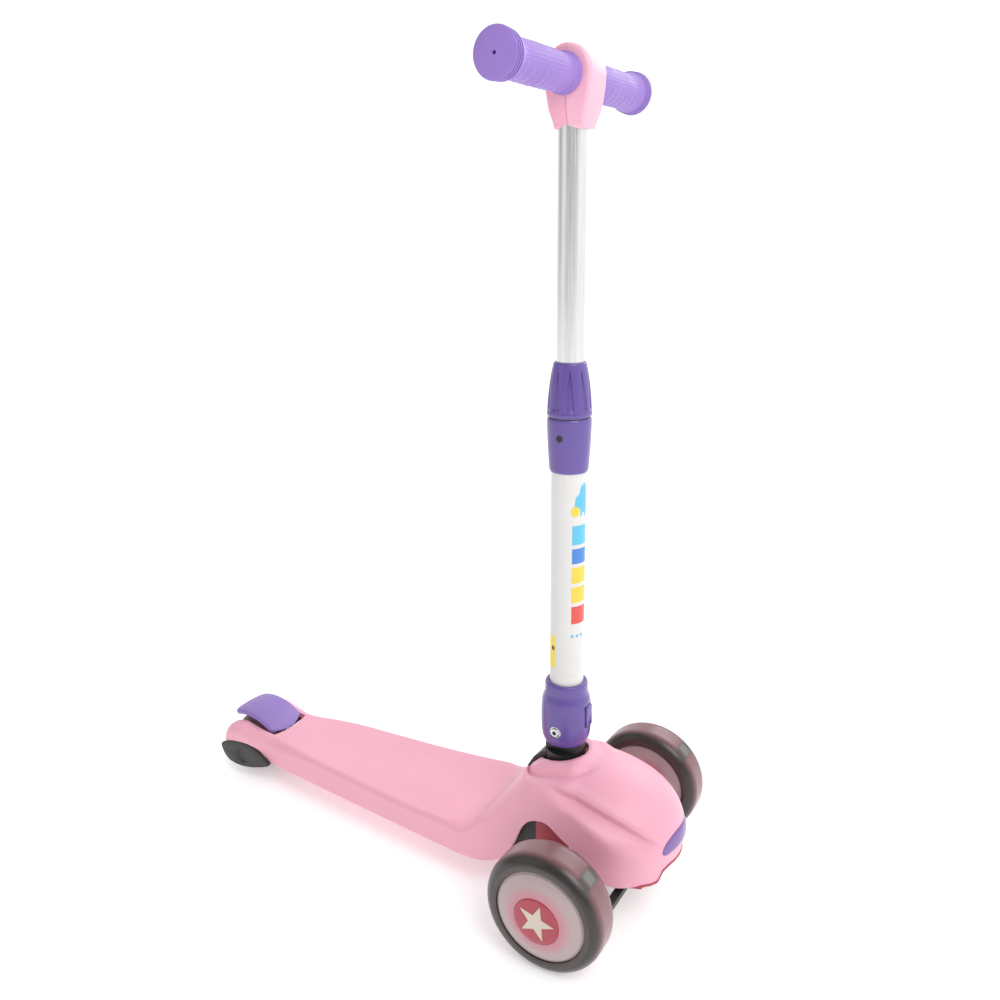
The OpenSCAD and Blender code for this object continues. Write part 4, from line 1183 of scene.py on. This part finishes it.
def front_hubs():
    """Dished hub: a rim and an inner boss on a flat wall."""
    rim = [(FACE_R - 0.5, -18), (FACE_R, -17.5), (FACE_R, -15.7), (43, -15.7), (43, 15.5), (39, 15.5),
           (39, -14)]
    boss = [(15, -14), (15, 12), (11, 12)]
    both_sides(wheel_lathe("hub_piece", [(11, -18)] + rim + boss, 96), "hub_piece", wheel_face, "hub")


def rear_wheel():
    """Narrow tyre of the rear wheel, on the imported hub."""
    low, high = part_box("rear_tyre")
    half = (high.y - low.y) / 2 / MM
    hub_low, hub_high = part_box("rear_hub")
    hub_r = (hub_high.z - hub_low.z) / 2 / MM
    bend = tyre_shoulder(REAR_R, half, 8, 10)
    line = [(hub_r, -half)] + [(r, -y) for r, y in bend[::-1]] + bend + [(hub_r, half)]
    piece = lathe("rear_tyre_piece", line, "y", (REAR_AXLE, 0, REAR_R), 96)
    finish_piece(piece, rear_smoke, "rear_wheel", ["rear_tyre"], 40)


under_cover()
arch_rail()
arch_panel("arch_panel", 0, 35.5, 70, 6, red_plastic, "under_cover")
# Dark panel for the pivot bracket that also closes off the arch's inside: partly the real dark bracket,
# partly painted shade where the hood's inside lies in shadow.
arch_panel("bracket_and_arch_shade", -42, 8, 46, 10, dark_plastic, "pivot_bracket")
nose_badge()
rear_cover(1)
rear_cover(-1)
fender()
hinge_sleeve()
release_button()
fold_bolt()
tube("white_tube", 17, 15.5, 198, COLLAR_Z + 6, white_paint, "stem", "outer_tube")
tube("silver_tube", 12.7, 11.3, 385, BAR_Z - 11.3, aluminium, "handlebar", "inner_tube")
twist_collar()
lower_collar()
tube_graphics()
handlebar_head()
grips()
front_tyres()
face_plates()
star_discs()
front_hubs()
rear_wheel()


# ---------------------------------------------------------------------- camera

def camera():
    """Seen from ahead and to the rider's right, a little above the handlebar's half height."""
    yaw, pitch, roll = -0.5343, -0.2617, -0.0072  # radians; a yaw of 0 looks along +Y
    forward = Vector((math.cos(pitch) * math.sin(yaw), math.cos(pitch) * math.cos(yaw), math.sin(pitch)))
    level = Vector((math.cos(yaw), -math.sin(yaw), 0))
    upright = level.cross(forward)
    right = level * math.cos(roll) + upright * math.sin(roll)
    up = upright * math.cos(roll) - level * math.sin(roll)
    data = bpy.data.cameras.new("camera")
    data.sensor_width = 36
    data.lens = 33.51
    data.shift_x = -0.0047
    data.shift_y = -0.0206
    data.clip_start = 0.01
    eye = bpy.data.objects.new("camera", data)
    bpy.context.scene.collection.objects.link(eye)
    turn = Matrix((right, up, -forward)).transposed().to_4x4()
    eye.matrix_world = Matrix.Translation(place((383.1, -767.1, 661.2))) @ turn
    bpy.context.scene.camera = eye


def area_light(name, spot, target, size, power):
    data = bpy.data.lights.new(name, "AREA")
    data.shape = "RECTANGLE"
    data.size, data.size_y = size
    data.energy = power
    lamp = bpy.data.objects.new(name, data)
    bpy.context.scene.collection.objects.link(lamp)
    lamp.location = spot
    lamp.rotation_euler = (Vector(target) - Vector(spot)).to_track_quat("-Z", "Y").to_euler()


def studio():
    """Bright room that is dimmer on the scooter's right, three soft lights and a pale floor."""
    world = bpy.data.worlds.new("studio")
    world.use_nodes = True
    links, nodes = world.node_tree.links, world.node_tree.nodes
    nodes["Background"].inputs["Color"].default_value = (1, 1, 1, 1)
    place_node = nodes.new("ShaderNodeTexCoord")
    facing = nodes.new("ShaderNodeVectorMath")
    facing.operation = "DOT_PRODUCT"
    facing.inputs[1].default_value = (0.25, 0.97, 0.0)  # the room's bright side
    fade = nodes.new("ShaderNodeMapRange")
    dim_at, bright_at, dim, bright = -0.3, 0.25, 0.45, 1.1
    for socket, value in zip(fade.inputs[1:5], (dim_at, bright_at, dim, bright)):
        socket.default_value = value
    links.new(place_node.outputs["Generated"], facing.inputs[0])
    links.new(facing.outputs["Value"], fade.inputs[0])
    links.new(fade.outputs[0], nodes["Background"].inputs["Strength"])
    bpy.context.scene.world = world
    area_light("key", (1.6, -0.9, 2.2), (0.1, 0, 0.3), (1.4, 1.4), 26)
    area_light("fill", (-1.4, -1.8, 1.3), (0, 0, 0.3), (1.6, 1.6), 4)
    area_light("rim", (0.3, 2.0, 1.6), (0, 0, 0.4), (1.5, 1.0), 10)
    n = Nodes("pale_floor")
    n.feed(n.tint(2, 3, (0.93, 0.93, 0.93), (0.95, 0.95, 0.95)))
    n.set(Roughness=0.8, Emission_Color=(1, 1, 1, 1), Emission_Strength=0.35)
    far = 9000
    floor = build("floor", [(-far, -far, 0), (far, -far, 0), (far, far, 0), (-far, far, 0)], [(0, 1, 2, 3)])
    floor.data.materials.append(n.material)
    bpy.context.scene.view_settings.view_transform = "Standard"


camera()
studio()


# ------------------------------------------------- materials of the CAD pieces

CAD_LOOKS = {
    dark_plastic: ["pivot_bracket", "tie_rod", "rear_cover_left", "rear_cover_right"],
    black_plastic: ["stem_socket", "tube_bush"],
    dark_steel: ["collar_screw", "axle_beam", "knuckle_left", "knuckle_right", "head_screws"],
    zinc: ["bracket_bolts", "pivot_bolt", "cover_screws", "rear_axle", "lock_nuts", "axle_spacers",
           "brake_pin", "kingpins", "axle_bolt_left", "axle_bolt_right", "bearings_left", "bearings_right",
           "rear_bearings", "brake_pad", "hinge_bolt", "hinge_nut", "cross_tube"],
    spring_steel: ["spring_left", "spring_right", "brake_spring", "button_spring"],
    light_plastic: ["lights_left", "lights_right"],
    collet_plastic: ["clamp_collet"],
    white_paint: ["outer_tube"],
    aluminium: ["inner_tube"],
    pink_plastic: ["head_front_cover", "head_rear_cover"],
    purple_plastic: ["hinge_sleeve", "lower_collar", "twist_collar", "release_button"],
    fender_plastic: ["brake_fender"],
    badge_plastic: ["nose_badge"],
    red_plastic: ["under_cover"],
    grip_rubber: ["grip_left", "grip_right"],
    smoky_tyre: ["tyre_left", "tyre_right"],
    rear_smoke: ["rear_tyre"],
    wheel_face: ["hub_left", "hub_right", "face_plate_left", "face_plate_right", "rear_hub"],
    star_red: ["star_disc_left", "star_disc_right"],
}
for look, nodes in CAD_LOOKS.items():
    for node in nodes:
        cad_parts[node].data.materials.clear()
        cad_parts[node].data.materials.append(look)
